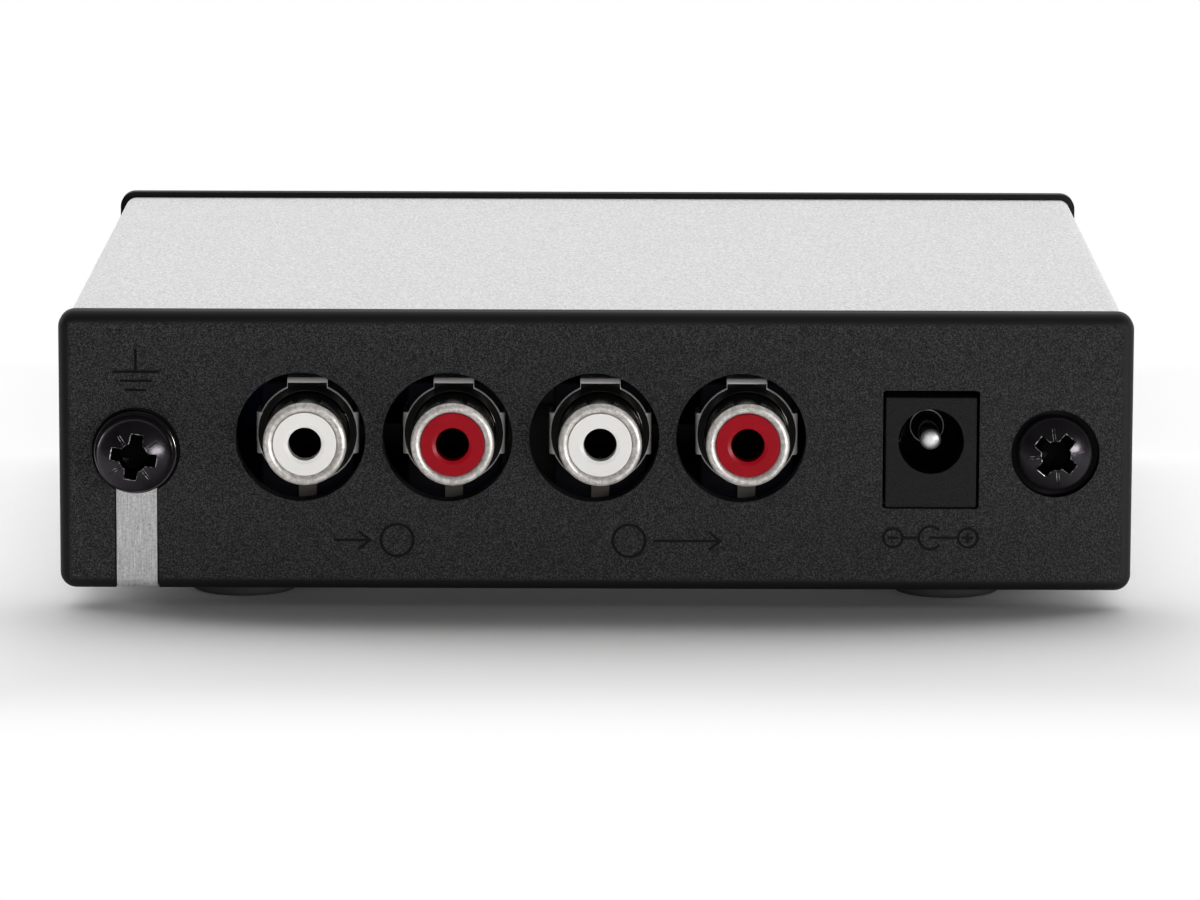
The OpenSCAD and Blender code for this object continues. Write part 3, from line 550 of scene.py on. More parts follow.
def arc(centre_r, centre_z, radius, start, end, steps=6):
    """Points of an arc for a lathe's outline, with its angles in degrees."""
    turns = [math.radians(start + (end - start) * i / steps) for i in range(steps + 1)]
    return [(centre_r + radius * math.cos(a), centre_z + radius * math.sin(a)) for a in turns]


def near(r, z, *steps):
    """Points of an outline close to a corner, as steps outwards and upwards from it."""
    return [(r + out, z + up) for out, up in steps]


def drawn(name, points):
    """A chain of edges through the points: one corner, drawn out again and again."""
    clear_bench()
    bpy.ops.mesh.primitive_plane_add(size=1)
    piece = started(name)
    bpy.ops.object.mode_set(mode="EDIT")
    bpy.ops.mesh.select_mode(type="VERT")
    bpy.ops.mesh.select_all(action="SELECT")
    bpy.ops.mesh.merge(type="CENTER")
    bpy.ops.transform.translate(value=points[0])
    for here, there in zip(points, points[1:]):
        step = Vector(there) - Vector(here)
        bpy.ops.mesh.extrude_vertices_move(TRANSFORM_OT_translate={"value": step})
    bpy.ops.mesh.select_all(action="SELECT")
    return piece


def face_outwards():
    """In edit mode, turns all faces so that they look outwards."""
    bpy.ops.mesh.select_all(action="SELECT")
    bpy.ops.mesh.normals_make_consistent(inside=False)


def turned(name, outline, steps=64):
    """A turned piece: its outline of (radius, height) points, spun round the upright axis."""
    piece = drawn(name, [(r, 0, z) for r, z in outline])
    bpy.ops.mesh.spin(steps=steps, angle=2 * math.pi, center=(0, 0, 0), axis=(0, 0, 1))
    bpy.ops.mesh.select_all(action="SELECT")
    bpy.ops.mesh.remove_doubles(threshold=HAIR / 2)
    face_outwards()
    bpy.ops.object.mode_set(mode="OBJECT")
    return piece


def closed(outline):
    """The outline, led back to its first point, for a piece that is hollow all through."""
    return outline + outline[:1]


def rod(name, radius, low, high, steps=48):
    """A plain round rod, used as a drill."""
    return turned(name, [(0, low), (radius, low), (radius, high), (0, high)], steps)


print("points in a quarter of a circle:", len(arc(0, 0, 1, 0, 90)))


# %% Cut, join, smooth and put in place
def finish_modifier(piece, kind, **settings):
    """Adds a modifier, sets it and applies it."""
    take(piece)
    modifier = piece.modifiers.new(kind.lower(), kind)
    for name, value in settings.items():
        setattr(modifier, name, value)
    bpy.ops.object.modifier_apply(modifier=modifier.name)


def combined(piece, operation, others):
    """Joins or cuts. It merges corners left a hair apart, so that the piece stays closed."""
    for other in others:
        finish_modifier(piece, "BOOLEAN", operation=operation, solver="EXACT", object=other)
        bpy.data.objects.remove(other)
        with editing(piece):
            bpy.ops.mesh.select_all(action="SELECT")
            bpy.ops.mesh.remove_doubles(threshold=HAIR)
            bpy.ops.mesh.dissolve_degenerate(threshold=HAIR)


def cut(piece, *cutters):
    """Takes the cutters' shapes out of the piece. The cutters are used up."""
    combined(piece, "DIFFERENCE", cutters)


def fuse(piece, *others):
    """Makes one solid of the piece and the others, which are used up."""
    combined(piece, "UNION", others)


def strip(name, width, path, thickness):
    """A strip of sheet, bent along a path of (y, z) points, with its thickness to both sides."""
    piece = drawn(name, [(-width / 2, y, z) for y, z in path])
    bpy.ops.mesh.extrude_region_move(TRANSFORM_OT_translate={"value": (width, 0, 0)})
    face_outwards()
    bpy.ops.object.mode_set(mode="OBJECT")
    finish_modifier(piece, "SOLIDIFY", thickness=thickness, offset=0, use_even_offset=True)
    return piece


def smooth(piece, angle=32):
    """Smooth shading that stops at real edges, led by the largest faces."""
    take(piece)
    bpy.ops.object.shade_smooth_by_angle(angle=math.radians(angle))
    finish_modifier(piece, "WEIGHTED_NORMAL", keep_sharp=True)


def copied(piece, name):
    """A second piece with a mesh of its own."""
    take(piece)
    bpy.ops.object.duplicate(linked=False)
    return started(name)


def hand_over(piece, place, body, slot, *nodes):
    """Carries a piece to its place, and keeps that place in its mesh. From there on it moves
    with a body and stands for the frame's nodes. The slot is not used."""
    take(piece)
    piece.matrix_world = place
    bpy.ops.object.transform_apply(location=True, rotation=True, scale=True)
    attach(piece, body)
    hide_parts(*nodes)
    print(f"{piece.name}: {len(piece.data.polygons)} faces on {body}")


def finished_with(piece, ground, *others):
    """Covers the piece with one finish. Others go on the faces that their own rules pick."""
    piece.data.materials.clear()
    piece.data.materials.append(ground)
    for index, (material, *rules) in enumerate(others, 1):
        piece.data.materials.append(material)
        for rule in rules:
            with editing(piece):
                pick_faces(piece, rule)
                piece.active_material_index = index
                bpy.ops.object.material_slot_assign()


print("corners closer than", HAIR, "mm are merged")

# %% [markdown]
# ## The floor, the background and the lamps
# The floor is a plain pale sheet that keeps the case's soft shadow. A hand's breadth away it
# passes into white for the camera and for reflections, so no horizon shows. The main light comes
# from behind, from the sky and two low side lamps, so the shadow falls forwards and fades at its
# ends. A low lamp beside the camera lights the back panel, and hardly reaches the shadow. It
# would glare in polished metal, so reflections don't see it. One edge lamp makes all the
# highlights. It stands hardly higher than the case, so that it never glares on the top.

# %% Floor
SHEET_W, SHEET_L, SHEET_FADE = 98, 164, 30


def pale_floor():
    finish = Finish("pale floor")
    past_side, past_end = abs(finish.x) - SHEET_W / 2, abs(finish.y) - SHEET_L / 2
    past = finish.step(past_side.at_least(past_end), 0, SHEET_FADE)
    from_camera, mirrored, through_glass = finish.rays()
    seen = from_camera.at_least(mirrored).at_least(through_glass)
    pale = finish.mix(finish.noise(30.0), grey(0.9), grey(0.92))
    sheet = finish.node("ShaderNodeBsdfDiffuse", None, {"Color": pale})
    white = finish.node("ShaderNodeEmission", None, {"Color": grey(1.0), "Strength": 1.0})
    shown = finish.blend(past * seen, sheet, white)
    finish.node("ShaderNodeOutputMaterial", None, {0: shown})
    return finish.material


clear_bench()
bpy.ops.mesh.primitive_plane_add(size=6)
floor = started("floor")
finished_with(floor, pale_floor())
print("floor at z", floor.location.z)

# %% World
world = bpy.data.worlds.new("studio")
bpy.context.scene.world = world
sky = Shading(world)
direction = sky.node("ShaderNodeTexCoord", output=0)
ahead, up = (sky.node("ShaderNodeSeparateXYZ", None, {0: direction}, i) for i in (1, 2))


def glow(strength):
    return sky.node("ShaderNodeBackground", None, {"Color": grey(1.0), "Strength": strength})


from_behind = sky.step(ahead, 0.05, 0.35, 0.09, 2.2)
from_above = sky.step(up, 0.0, 0.6, 0.15, 1.15)
in_metal = sky.step(ahead, -0.2, 0.2, 0.03, 1.0)
from_camera, mirrored, through_glass = sky.rays()
light = sky.blend(
    mirrored.at_least(through_glass), glow(from_behind * from_above), glow(in_metal)
)
sky.node("ShaderNodeOutputWorld", None, {0: sky.blend(from_camera, light, glow(1.0))})
print("white behind, and brighter from behind than from the front")


# %% Lamps
def lamp(name, at, aim, width, height, power):
    """A soft rectangular lamp at a place, turned to its aim, in metres and watts."""
    light = bpy.data.objects.new(name, bpy.data.lights.new(name, "AREA"))
    bpy.context.collection.objects.link(light)
    light.data.shape = "RECTANGLE"
    light.data.size, light.data.size_y = width, height
    light.data.energy = power
    light.location = at
    light.rotation_euler = (Vector(aim) - Vector(at)).to_track_quat("-Z", "Y").to_euler()
    light.visible_camera = False
    return light


MIDDLE_H = 0.015
CASE_MIDDLE = (0, 0, MIDDLE_H)
PANEL_MIDDLE = (0, BACK_Y * MM, MIDDLE_H)
for side in (-1, 1):
    lamp(f"side lamp {side}", (0.8 * side, 0.4, 0.2), CASE_MIDDLE, 0.3, 0.3, 1.5)
low = lamp("low lamp", (0.1, -0.9, 0.035), PANEL_MIDDLE, 0.5, 0.05, 4.3)
low.visible_glossy = False
edge = lamp("edge lamp", (0.4, -0.5, 0.05), PANEL_MIDDLE, 0.22, 0.1, 2.7)
edge.visible_diffuse = False

# A black card lies in front, below the lens. Only reflections see it, so that the upright
# polished faces stay deep.
clear_bench()
bpy.ops.mesh.primitive_plane_add(size=1, location=(0, -0.42, 0.002))
bpy.context.active_object.scale = (0.9, 0.66, 1)
card = started("black card")
finished_with(card, Finish("black card").paint(Base_Color=grey(0.01), Roughness=0.9))
card.visible_camera = card.visible_diffuse = card.visible_shadow = False

# %% [markdown]
# ## An end panel
# On the real case this is one moulding: a flat plate with round corners, a soft outer edge, and
# two ribs behind that find the sleeve. It starts as a block. Its upright edges are bevelled for
# the corners, then the rim of its face for the soft edge. The holes are drilled afterwards, so
# that the bevels run through undisturbed, and each hole's edge is softened by a hair.

# %% The bare plate
CORNER_R, EDGE_R, SLEEVE_WALL = 1.6, 1.1, 2.2
RIB_T, RIB_GAP, RIB_INSET = 1.2, 0.15, 18
ON_PLANE = 0.001


def on_face(a, b):
    return min(a.z, b.z) > -ON_PLANE


back_plate = block("back_plate", (-PANEL_W / 2, 0, -PANEL_T), (PANEL_W / 2, PANEL_H, 0))
soften(back_plate, CORNER_R, upright, segments=8)
soften(back_plate, EDGE_R, on_face, segments=6)
rib_w, rib_back = PANEL_W - 2 * RIB_INSET, back_low.y - back_high.y
for low in (SLEEVE_WALL + RIB_GAP, PANEL_H - SLEEVE_WALL - RIB_GAP - RIB_T):
    fuse(back_plate, block("rib", (-rib_w / 2, low, rib_back), (rib_w / 2, low + RIB_T, -1)))
front_plate = copied(back_plate, "front_plate")
print("plate:", len(back_plate.data.polygons), "faces")

# %% Holes for the jacks, the power jack and the screws
JACKS = [name for name in sorted(PLACES) if name.endswith("_barrel")]
JACK_X = [PLACES[name].x for name in JACKS]
JACK_H = PLACES["input_left_barrel"].z - FOOT_H
JACK_HOLE_R, JACK_HOLE_SHIFT = 6.4, -0.58
SCREW_X = -PLACES["earth_terminal"].x
SCREW_H = PLACES["earth_terminal"].z - FOOT_H
SEAT_R, SEAT_DEPTH, SHANK_HOLE_R = 4.35, 1.65, 2.2
GROOVE_W, GROOVE_DEPTH, STRAP_INNER_BEND = 4.24, 0.6, 0.5
PANEL_LIP = 0.6
POWER_X = PLACES["power_pin"].x
POWER_W, POWER_H = 9.0, 11.0
GAP_SIDE, GAP_BELOW, GAP_ABOVE = 0.26, 0.1, 0.68
BOARD_H = 8.4
THROUGH, CUTTER_REACH = 2 * PANEL_T, 3
HOLE_BEVEL, RIM_W = 0.12, 1.2


def drill(piece, x, y, radius, depth=THROUGH, steps=64):
    """A round hole from the face down to a depth."""
    bit = rod("bit", radius, -depth, CUTTER_REACH, steps)
    bit.data.transform(Matrix.Translation((x, y, 0)))
    cut(piece, bit)


def screw_hole(plate, x, seat_depth):
    """A seat for a screw's head, and a hole for its shank."""
    drill(plate, x, SCREW_H, SEAT_R, seat_depth)
    drill(plate, x, SCREW_H, SHANK_HOLE_R, steps=32)


def cut_window(plate, left, right, low, high):
    """A window through the plate, with small round corners."""
    window = block("window", (left, low, -THROUGH), (right, high, CUTTER_REACH))
    soften(window, 0.3, upright, segments=4)
    cut(plate, window)


def at_hole(a, b):
    """True for the edges of the face that don't belong to the plate's own rim."""
    off_rim = max(abs(a.x), abs(b.x)) < PANEL_W / 2 - RIM_W
    return off_rim and max(abs(a.z), abs(b.z)) < ON_PLANE


for x in JACK_X:
    drill(back_plate, x + JACK_HOLE_SHIFT, JACK_H, JACK_HOLE_R, steps=96)
screw_hole(back_plate, -SCREW_X, GROOVE_DEPTH)
screw_hole(back_plate, SCREW_X, SEAT_DEPTH)
cut_window(
    back_plate,
    POWER_X - POWER_W / 2 - GAP_SIDE,
    POWER_X + POWER_W / 2 + GAP_SIDE,
    BOARD_H - GAP_BELOW,
    BOARD_H + POWER_H + GAP_ABOVE,
)
left, right = -SCREW_X - GROOVE_W / 2, -SCREW_X + GROOVE_W / 2
cut(back_plate, block("groove", (left, -1, -GROOVE_DEPTH), (right, SCREW_H, 1)))
under = block("under", (left, -1, -THROUGH), (right, PANEL_LIP, 1))
soften(
    under,
    STRAP_INNER_BEND,
    lambda a, b: min(a.y, b.y) > 0 and max(a.z, b.z) < -THROUGH + ON_PLANE,
    segments=4,
)
cut(back_plate, under)
soften(back_plate, HOLE_BEVEL, at_hole, sharper_than=60)
print("holes:", len(JACK_X) + 4, "and a window")

# %% [markdown]
# ## Engraved marks
# The marks are cut a sixth of a millimetre deep, and painted darker as the shade in them.
# The earth terminal has the standard earth sign.
# The jacks have plain signs instead of words: an arrow that runs into a ring marks the inputs,
# one that leaves a ring marks the outputs. Under the power jack is the sign for a plug whose
# middle is positive. Each stroke is a thin cutter, so a sign is a short list of strokes.

# %% Cutters for strokes and rings
STROKE, MARK_DEPTH = 0.28, 0.15
BARB_L, BARB_RISE = 1.0, 0.8


def stroke(piece, x0, y0, x1, y1):
    """Engraves a straight stroke between two points of the face."""
    start, end = Vector((x0, y0, 0)), Vector((x1, y1, 0))
    along = end - start
    clear_bench()
    bpy.ops.mesh.primitive_cube_add(
        size=1,
        location=(start + end) / 2,
        rotation=(0, 0, math.atan2(along.y, along.x)),
        scale=(along.length + STROKE, STROKE, 2 * MARK_DEPTH),
    )
    cut(piece, started("stroke"))


def ring_mark(piece, x, y, radius, gap=0):
    """Engraves a ring. A gap in degrees opens it on its right-hand side."""
    inner, outer, depth = radius - STROKE / 2, radius + STROKE / 2, MARK_DEPTH
    outline = [(inner, -depth), (outer, -depth), (outer, depth), (inner, depth)]
    ring = turned("ring", closed(outline), 40)
    if gap:
        reach, limit = radius * 2, math.tan(math.radians(gap / 2))
        wedge = block("wedge", (0, -reach, -1), (reach, reach, 1))
        resize_faces(wedge, (-1, 0, 0), (1, ON_PLANE, 1), (0, 0, 0))
        resize_faces(wedge, (1, 0, 0), (1, limit, 1), (reach, 0, 0))
        cut(ring, wedge)
    ring.data.transform(Matrix.Translation((x, y, 0)))
    cut(piece, ring)


def arrow(piece, tail_x, tip_x, y):
    """Engraves an arrow that points to the right."""
    stroke(piece, tail_x, y, tip_x, y)
    for rise in (-BARB_RISE, BARB_RISE):
        stroke(piece, tip_x - BARB_L, y + rise, tip_x, y)


print("strokes", STROKE, "mm wide and", MARK_DEPTH, "mm deep")

# %% Engrave the back
EARTH_BARS = [(21.76, 4.26), (20.85, 2.87), (19.93, 1.87)]
EARTH_LINE_TOP = 23.9
for height, width in EARTH_BARS:
    stroke(back_plate, -SCREW_X - width / 2, height, -SCREW_X + width / 2, height)
stroke(back_plate, -SCREW_X, EARTH_BARS[0][0], -SCREW_X, EARTH_LINE_TOP)

SIGN_H, SIGN_R = 5.0, 1.6
arrow(back_plate, -25.7, -22.3, SIGN_H)
ring_mark(back_plate, -19.6, SIGN_H, SIGN_R)
ring_mark(back_plate, 3.3, SIGN_H, SIGN_R)
arrow(back_plate, 5.9, 12.3, SIGN_H)

PLUG_SIGN_H, POLE_X, POLE_R, POLE_SIGN = 5.4, 3.7, 0.95, 0.4
for x in (POWER_X - POLE_X, POWER_X + POLE_X):
    ring_mark(back_plate, x, PLUG_SIGN_H, POLE_R)
    stroke(back_plate, x - POLE_SIGN, PLUG_SIGN_H, x + POLE_SIGN, PLUG_SIGN_H)
stroke(back_plate, x, PLUG_SIGN_H - POLE_SIGN, x, PLUG_SIGN_H + POLE_SIGN)
ring_mark(back_plate, POWER_X, PLUG_SIGN_H, 1.15, gap=80)
stroke(back_plate, POWER_X - 2.6, PLUG_SIGN_H, POWER_X - 1.3, PLUG_SIGN_H)
stroke(back_plate, POWER_X, PLUG_SIGN_H, POWER_X + 2.6, PLUG_SIGN_H)
print("panel with its marks:", len(back_plate.data.polygons), "faces")

# %% Finish and place the back panel
MARK_MARGIN, LOW_MARKS_END, HIGH_MARKS_START = 2, 7.5, 19.5


def engraved(middle):
    """True at the depth of the engraved strokes."""
    return -1.2 * MARK_DEPTH < middle.z < -ON_PLANE


def in_a_shaded_mark(middle, normal):
    """True for the faces of the engraved strokes above and below the jacks, painted darker as
    shade.
    """
    off_side = abs(middle.x) < PANEL_W / 2 - MARK_MARGIN
    low_mark = MARK_MARGIN < middle.y <= LOW_MARKS_END
    high_mark = HIGH_MARKS_START <= middle.y < PANEL_H - MARK_MARGIN
    return off_side and engraved(middle) and (low_mark or high_mark)


def in_a_shaded_seat(middle, normal):
    """True for the smooth walls and floor of a screw's seat, painted darker as shade."""
    from_screw = math.hypot(abs(middle.x) - SCREW_X, middle.y - SCREW_H)
    return from_screw < SEAT_R + ON_PLANE and middle.z < -0.1


# The marks and the screws' seats are painted darker, as the shade in them.
smooth(back_plate)
finished_with(back_plate, TEXTURED_BLACK, (MARK_SHADE_BLACK, in_a_shaded_mark, in_a_shaded_seat))
hand_over(back_plate, at_back(0, 0), "case", "textured_black_plastic", "rear_panel")

# %% [markdown]
# ## Phono jacks
# A phono jack's shell is one piece of sheet metal, drawn into a barrel. The barrel's mouth is
# rolled over to a round rim, and its foot is spread to a flange. Tabs folded back from the flange
# clip over the plastic housing, and a narrow leg at the bottom goes down to the board. The barrel
# and flange are turned from one outline. The tabs and the leg are bent strips fused to them.

# %% Measures and finish of the shell
REACH = 4.5
BARREL_R, BARREL_WALL, RIM_R = 4.1, 0.4, 0.475
FLANGE_R, FLANGE_EDGE, SHEET = 5.0, 0.12, 0.4
FLANGE_FRONT = -PANEL_T
FLANGE_BACK = FLANGE_FRONT - SHEET
FLANGE_MID = FLANGE_FRONT - SHEET / 2
TAB_SIDE, TAB_TOP, TAB_REACH = 5.05, 5.5, 4.0
TAB_ROOT, TAB_FOLD_R, SHEET_BEVEL = (3.9, 4.3), 0.3, 0.06
SIDE_TAB_H, TOP_TAB_W, LEG_W, LEG_ROOT = 4.15, 4.0, 1.8, -4.0
JACK_BOTTOM = BOARD_H - JACK_H
BARREL_BORE_R = BARREL_R - BARREL_WALL
RIM_Z = REACH - RIM_R


def turned_nickel():
    """Satin nickel with fine rings round each jack. The pattern repeats from jack to jack."""
    finish = Finish("turned nickel")
    pitch = JACK_X[1] - JACK_X[0]
    across = finish.x.wrapped(JACK_X[0] - pitch / 2, JACK_X[0] + pitch / 2) - JACK_X[0]
    up = finish.z - (FOOT_H + JACK_H)
    ring = (across * across + up * up).root()
    streaks = finish.noise(0.05, place=finish.joined(ring, 0.02 * across, 0.02 * up))
    blots = finish.noise(0.5, detail=3.0, rough=0.7)
    share = 0.6 * streaks + 0.5 * finish.step(blots, 0.35, 0.65)
    return finish.paint(
        Base_Color=finish.mix(share, grey(0.34, 0.05), grey(0.88, 0.05)),
        Metallic=0.55,
        Roughness=0.4 + 0.14 * streaks,
        Normal=finish.relief(0.6 * streaks + 0.4 * blots, 0.008),
    )


TURNED_NICKEL = turned_nickel()
print("barrel", 2 * BARREL_R, "mm across, reach", REACH, "mm")

# %% Shell
shell_outline = [
    (BARREL_BORE_R, FLANGE_BACK), (FLANGE_R - 0.1, FLANGE_BACK), (FLANGE_R, FLANGE_BACK + 0.1),
    *arc(FLANGE_R - FLANGE_EDGE, FLANGE_FRONT - FLANGE_EDGE, FLANGE_EDGE, 0, 90, 3),
    *arc(BARREL_R + 0.15, FLANGE_FRONT + 0.15, 0.15, 270, 180, 4),
    *arc(BARREL_R - RIM_R, RIM_Z, RIM_R, 0, 230, 18), (BARREL_BORE_R, RIM_Z - RIM_R - 0.1),
]
shell = turned("shell", closed(shell_outline), 96)


def bend(end_y):
    """The path of a tab: along the flange, round a fold, and back over the housing."""
    y = end_y - SHEET / 2
    fold = arc(y - TAB_FOLD_R, FLANGE_MID - TAB_FOLD_R, TAB_FOLD_R, 90, 0, 5)
    return [*((root, FLANGE_MID) for root in TAB_ROOT), *fold, (y, FLANGE_FRONT - TAB_REACH)]


top_tab = strip("top tab", TOP_TAB_W, bend(TAB_TOP), SHEET)
side_tab = strip("side tab", SIDE_TAB_H, bend(TAB_SIDE), SHEET)
leg = strip("leg", LEG_W, [(LEG_ROOT, FLANGE_MID), (JACK_BOTTOM, FLANGE_MID)], SHEET)
other_side_tab = copied(side_tab, "other side tab")
side_tab.data.transform(spun(90))
other_side_tab.data.transform(spun(-90))
for tab in (top_tab, side_tab, other_side_tab, leg):
    soften(tab, SHEET_BEVEL, anywhere, sharper_than=70)
fuse(shell, top_tab, side_tab, other_side_tab, leg)
smooth(shell, 35)
# Painted shade: the flange is nickel painted dark as its reflections, the leg as shade.
finished_with(
    shell,
    SATIN_NICKEL,
    (NICKEL_PAINTED_DARK, between(outer=FLANGE_R - FLANGE_EDGE, high=RIM_Z - 0.3)),
    (SHADED_SHEET, lambda middle, normal: middle.y < -FLANGE_R),
    (TURNED_NICKEL, between(low=RIM_Z - 0.3)),
)
print("shell:", len(shell.data.polygons), "faces")

# %% [markdown]
# ### The ring, the contact and the housing
# The coloured ring is moulded plastic. It sits in the barrel with its face just behind the rim,
# and its hole has a wide chamfer that guides the plug's pin. Behind the hole stands the centre
# contact, a bronze tube painted dark as the shade deep in the hole, whose mouth is slit so that
# it grips; its bore is painted near-black as shade. The housing is a plain moulding that holds
# them all, with softened edges and a shallow step in its face.

# %% Ring
SOCKET_R, CONTACT_R = 1.625, 2.125
RING_FACE, RING_EDGE = REACH - 0.15, 0.06
CONTACT_FACE = REACH - 1.8
FIT = 0.05

neck_r = BARREL_R - 2 * RIM_R - FIT / 2
shoulder = REACH - 2 * RIM_R - FIT
ring_outline = [
    (CONTACT_R + FIT, FLANGE_BACK), (BARREL_BORE_R - FIT, FLANGE_BACK),
    (BARREL_BORE_R - FIT, shoulder), (neck_r, shoulder),
    *arc(neck_r - RING_EDGE, RING_FACE - RING_EDGE, RING_EDGE, 0, 90, 3),
    *near(SOCKET_R, RING_FACE, (0.4, 0), (0.34, -0.02), (0.04, -0.14), (0, -0.2)),
    (SOCKET_R, CONTACT_FACE), (CONTACT_R + FIT, CONTACT_FACE),
]
ring = turned("ring", closed(ring_outline), 96)
smooth(ring, 30)
print("ring:", len(ring.data.polygons), "faces")

# %% Contact
SLIT_W, SLIT_L, CONTACT_FLOOR = 0.3, 5, 0.6
contact_back = CONTACT_FACE - 9
contact_outline = [
    (0, contact_back), (CONTACT_R, contact_back),
    *near(CONTACT_R, CONTACT_FACE, (0, -0.1), (-0.1, 0)),
    *near(SOCKET_R, CONTACT_FACE, (0.2, 0), (0, -0.3)),
    (SOCKET_R, contact_back + CONTACT_FLOOR), (0, contact_back + CONTACT_FLOOR),
]
contact = turned("contact", contact_outline, 48)
for turn in (0, 90):
    slit = post("slit", 6, SLIT_W, CONTACT_FACE - SLIT_L, CONTACT_FACE + 1)
    slit.data.transform(spun(turn))
    cut(contact, slit)
smooth(contact, 30)
# The contact is painted dark, and its bore near-black, as the shade deep in the hole.
finished_with(contact, SHADED_CONTACT, (BORE_SHADE_BLACK, between(outer=SOCKET_R + 0.01)))
print("contact:", len(contact.data.polygons), "faces")

# %% Housing
HOUSING_L, STEP_IN, STEP_DEPTH = 9.6, 1.0, 0.5
housing_half = TAB_SIDE - SHEET - FIT
housing = block(
    "housing",
    (-housing_half, JACK_BOTTOM, FLANGE_BACK - HOUSING_L),
    (housing_half, TAB_TOP - SHEET - FIT, FLANGE_BACK),
)
soften(housing, 0.3, anywhere, segments=3)
with editing(housing):
    pick_faces(housing, lambda middle, normal: normal.z < -SQUARELY)
    bpy.ops.mesh.inset(thickness=STEP_IN)
    bpy.ops.transform.translate(value=(0, 0, STEP_DEPTH))
cut(housing, rod("bore", CONTACT_R + FIT, contact_back - FIT, 1))
smooth(housing)
finished_with(housing, HOUSING_BLACK)
print("housing:", len(housing.data.polygons), "faces")

# %% Four jacks
for mount, x in zip(JACKS, JACK_X):
    name = mount.removesuffix("_barrel")
    white = name.endswith("left")
    finished_with(ring, RING_WHITE if white else RING_RED)
    for piece, part, slot in (
        (shell, "shell", "satin_nickel"),
        (ring, "ring", "white_plastic" if white else "red_plastic"),
        (contact, "contact", "bright_nickel"),
        (housing, "housing", "jack_black_plastic"),
    ):
        fine = copied(piece, f"{name}_{part}_fine")
        hand_over(fine, at_back(x, JACK_H), "case", slot, f"{name}_{part}")
for pattern in (shell, ring, contact, housing):
    bpy.data.objects.remove(pattern)

# %% [markdown]
# ## Power jack
# The power jack is a moulded block that stands on the board. Its round bore takes the plug's
# barrel. At the bottom of the bore stands a centre pin with a rounded tip, on a small shoulder,
# and a bent strip of spring metal presses on the plug through a window in the left side. The
# block is fused from two boxes, as it is lower behind, and the bore is drilled with a soft edge.

# %% Body
POWER_H0 = PLACES["power_pin"].z - FOOT_H
POWER_FACE, POWER_HEAD_L, POWER_L, POWER_REAR_H = -0.15, 3.6, 14.2, 10.2
BORE_R, BORE_BOTTOM, SHOULDER_R = 3.2, -9.75, 1.7
POWER_PLACE = at_back(POWER_X, POWER_H0)
power_bottom = BOARD_H - POWER_H0
power_back = POWER_FACE - POWER_L


def power_box(name, height, back, front):
    """A box as wide as the power jack, standing on the board."""
    top = power_bottom + height
    return block(name, (-POWER_W / 2, power_bottom, back), (POWER_W / 2, top, front))


def at_mouth(a, b):
    return max(a.xy.length, b.xy.length) < BORE_R + 0.01 and min(a.z, b.z) > POWER_FACE - 0.01


body = power_box("power_jack_moulding", POWER_H, POWER_FACE - POWER_HEAD_L, POWER_FACE)
fuse(body, power_box("rear", POWER_REAR_H, power_back, POWER_FACE - 1))
soften(body, 0.16, anywhere, segments=3, sharper_than=80)
cut(body, rod("bore", BORE_R, BORE_BOTTOM, 1, 96))
soften(body, 0.14, at_mouth)
cut(body, rod("tail bore", 0.85, power_back - 1, -9))
cut(body, block("spring window", (-9, -1.3, -11.05), (-SHOULDER_R - 0.3, 1.3, -1.95)))
smooth(body)
# The bore is painted near-black, as the shade in it.
in_shaded_bore = between(outer=BORE_R + 0.02, high=POWER_FACE - 0.1)
finished_with(body, POWER_BLACK, (BORE_SHADE_BLACK, in_shaded_bore))
hand_over(body, POWER_PLACE, "case", "jack_black_plastic", "power_jack_body")

# %% Pin
PIN_R, PIN_TAIL_R, PIN_TIP = 1.05, 0.8, POWER_FACE - 1
NECK_Z = PIN_TIP - PIN_R - 0.75


def tip_with_painted_highlight():
    """Nickel with a painted highlight in the middle of the tip, and painted shade towards its
    edge.
    """
    finish = Finish("pin tip with painted highlight")
    across, up = finish.x - POWER_X, finish.z - (FOOT_H + POWER_H0)
    fine = finish.noise(0.14, detail=3.0)
    bright = finish.step((across * across + up * up).root() + 0.4 * fine, 0.4, 1.15, 1.0, 0.0)
    return finish.paint(
        Base_Color=finish.mix(bright, grey(0.1), grey(0.92)),
        Metallic=0.25,
        Roughness=0.3 + 0.1 * fine,
        Normal=finish.relief(fine, 0.012),
    )


pin_outline = [
    (0, power_back - 0.3), *near(PIN_TAIL_R, power_back, (-0.1, -0.3), (0, -0.2)),
    *near(PIN_TAIL_R, BORE_BOTTOM, (0, -0.3), (0, 0)),
    *near(SHOULDER_R, BORE_BOTTOM, (0, 0), (0, 0.2), (-0.1, 0.3)),
    *near(PIN_R, BORE_BOTTOM, (0.1, 0.3), (0, 0.4)),
    *near(PIN_R, NECK_Z, (0, -0.15), (-0.06, 0), (0, 0.15)),
    *arc(PIN_R - 0.4, PIN_TIP - 0.52, 0.4, 0, 75),
    (PIN_R - 0.55, PIN_TIP - 0.06), (0, PIN_TIP),
]
pin = turned("power_pin_fine", pin_outline)
smooth(pin, 30)
# Painted shade on the sides and shoulder in the bore, and a painted highlight on the tip.
finished_with(
    pin,
    NICKEL_PAINTED_DARK,
    (BORE_SHADE_BLACK, between(PIN_R + 0.1, SHOULDER_R - 0.12, up=SQUARELY)),
    (SATIN_NICKEL, between(SHOULDER_R - 0.12, low=BORE_BOTTOM)),
    (tip_with_painted_highlight(), between(low=PIN_TIP - 1, up=0.3)),
)
hand_over(pin, POWER_PLACE, "case", "bright_nickel", "power_jack_pin")

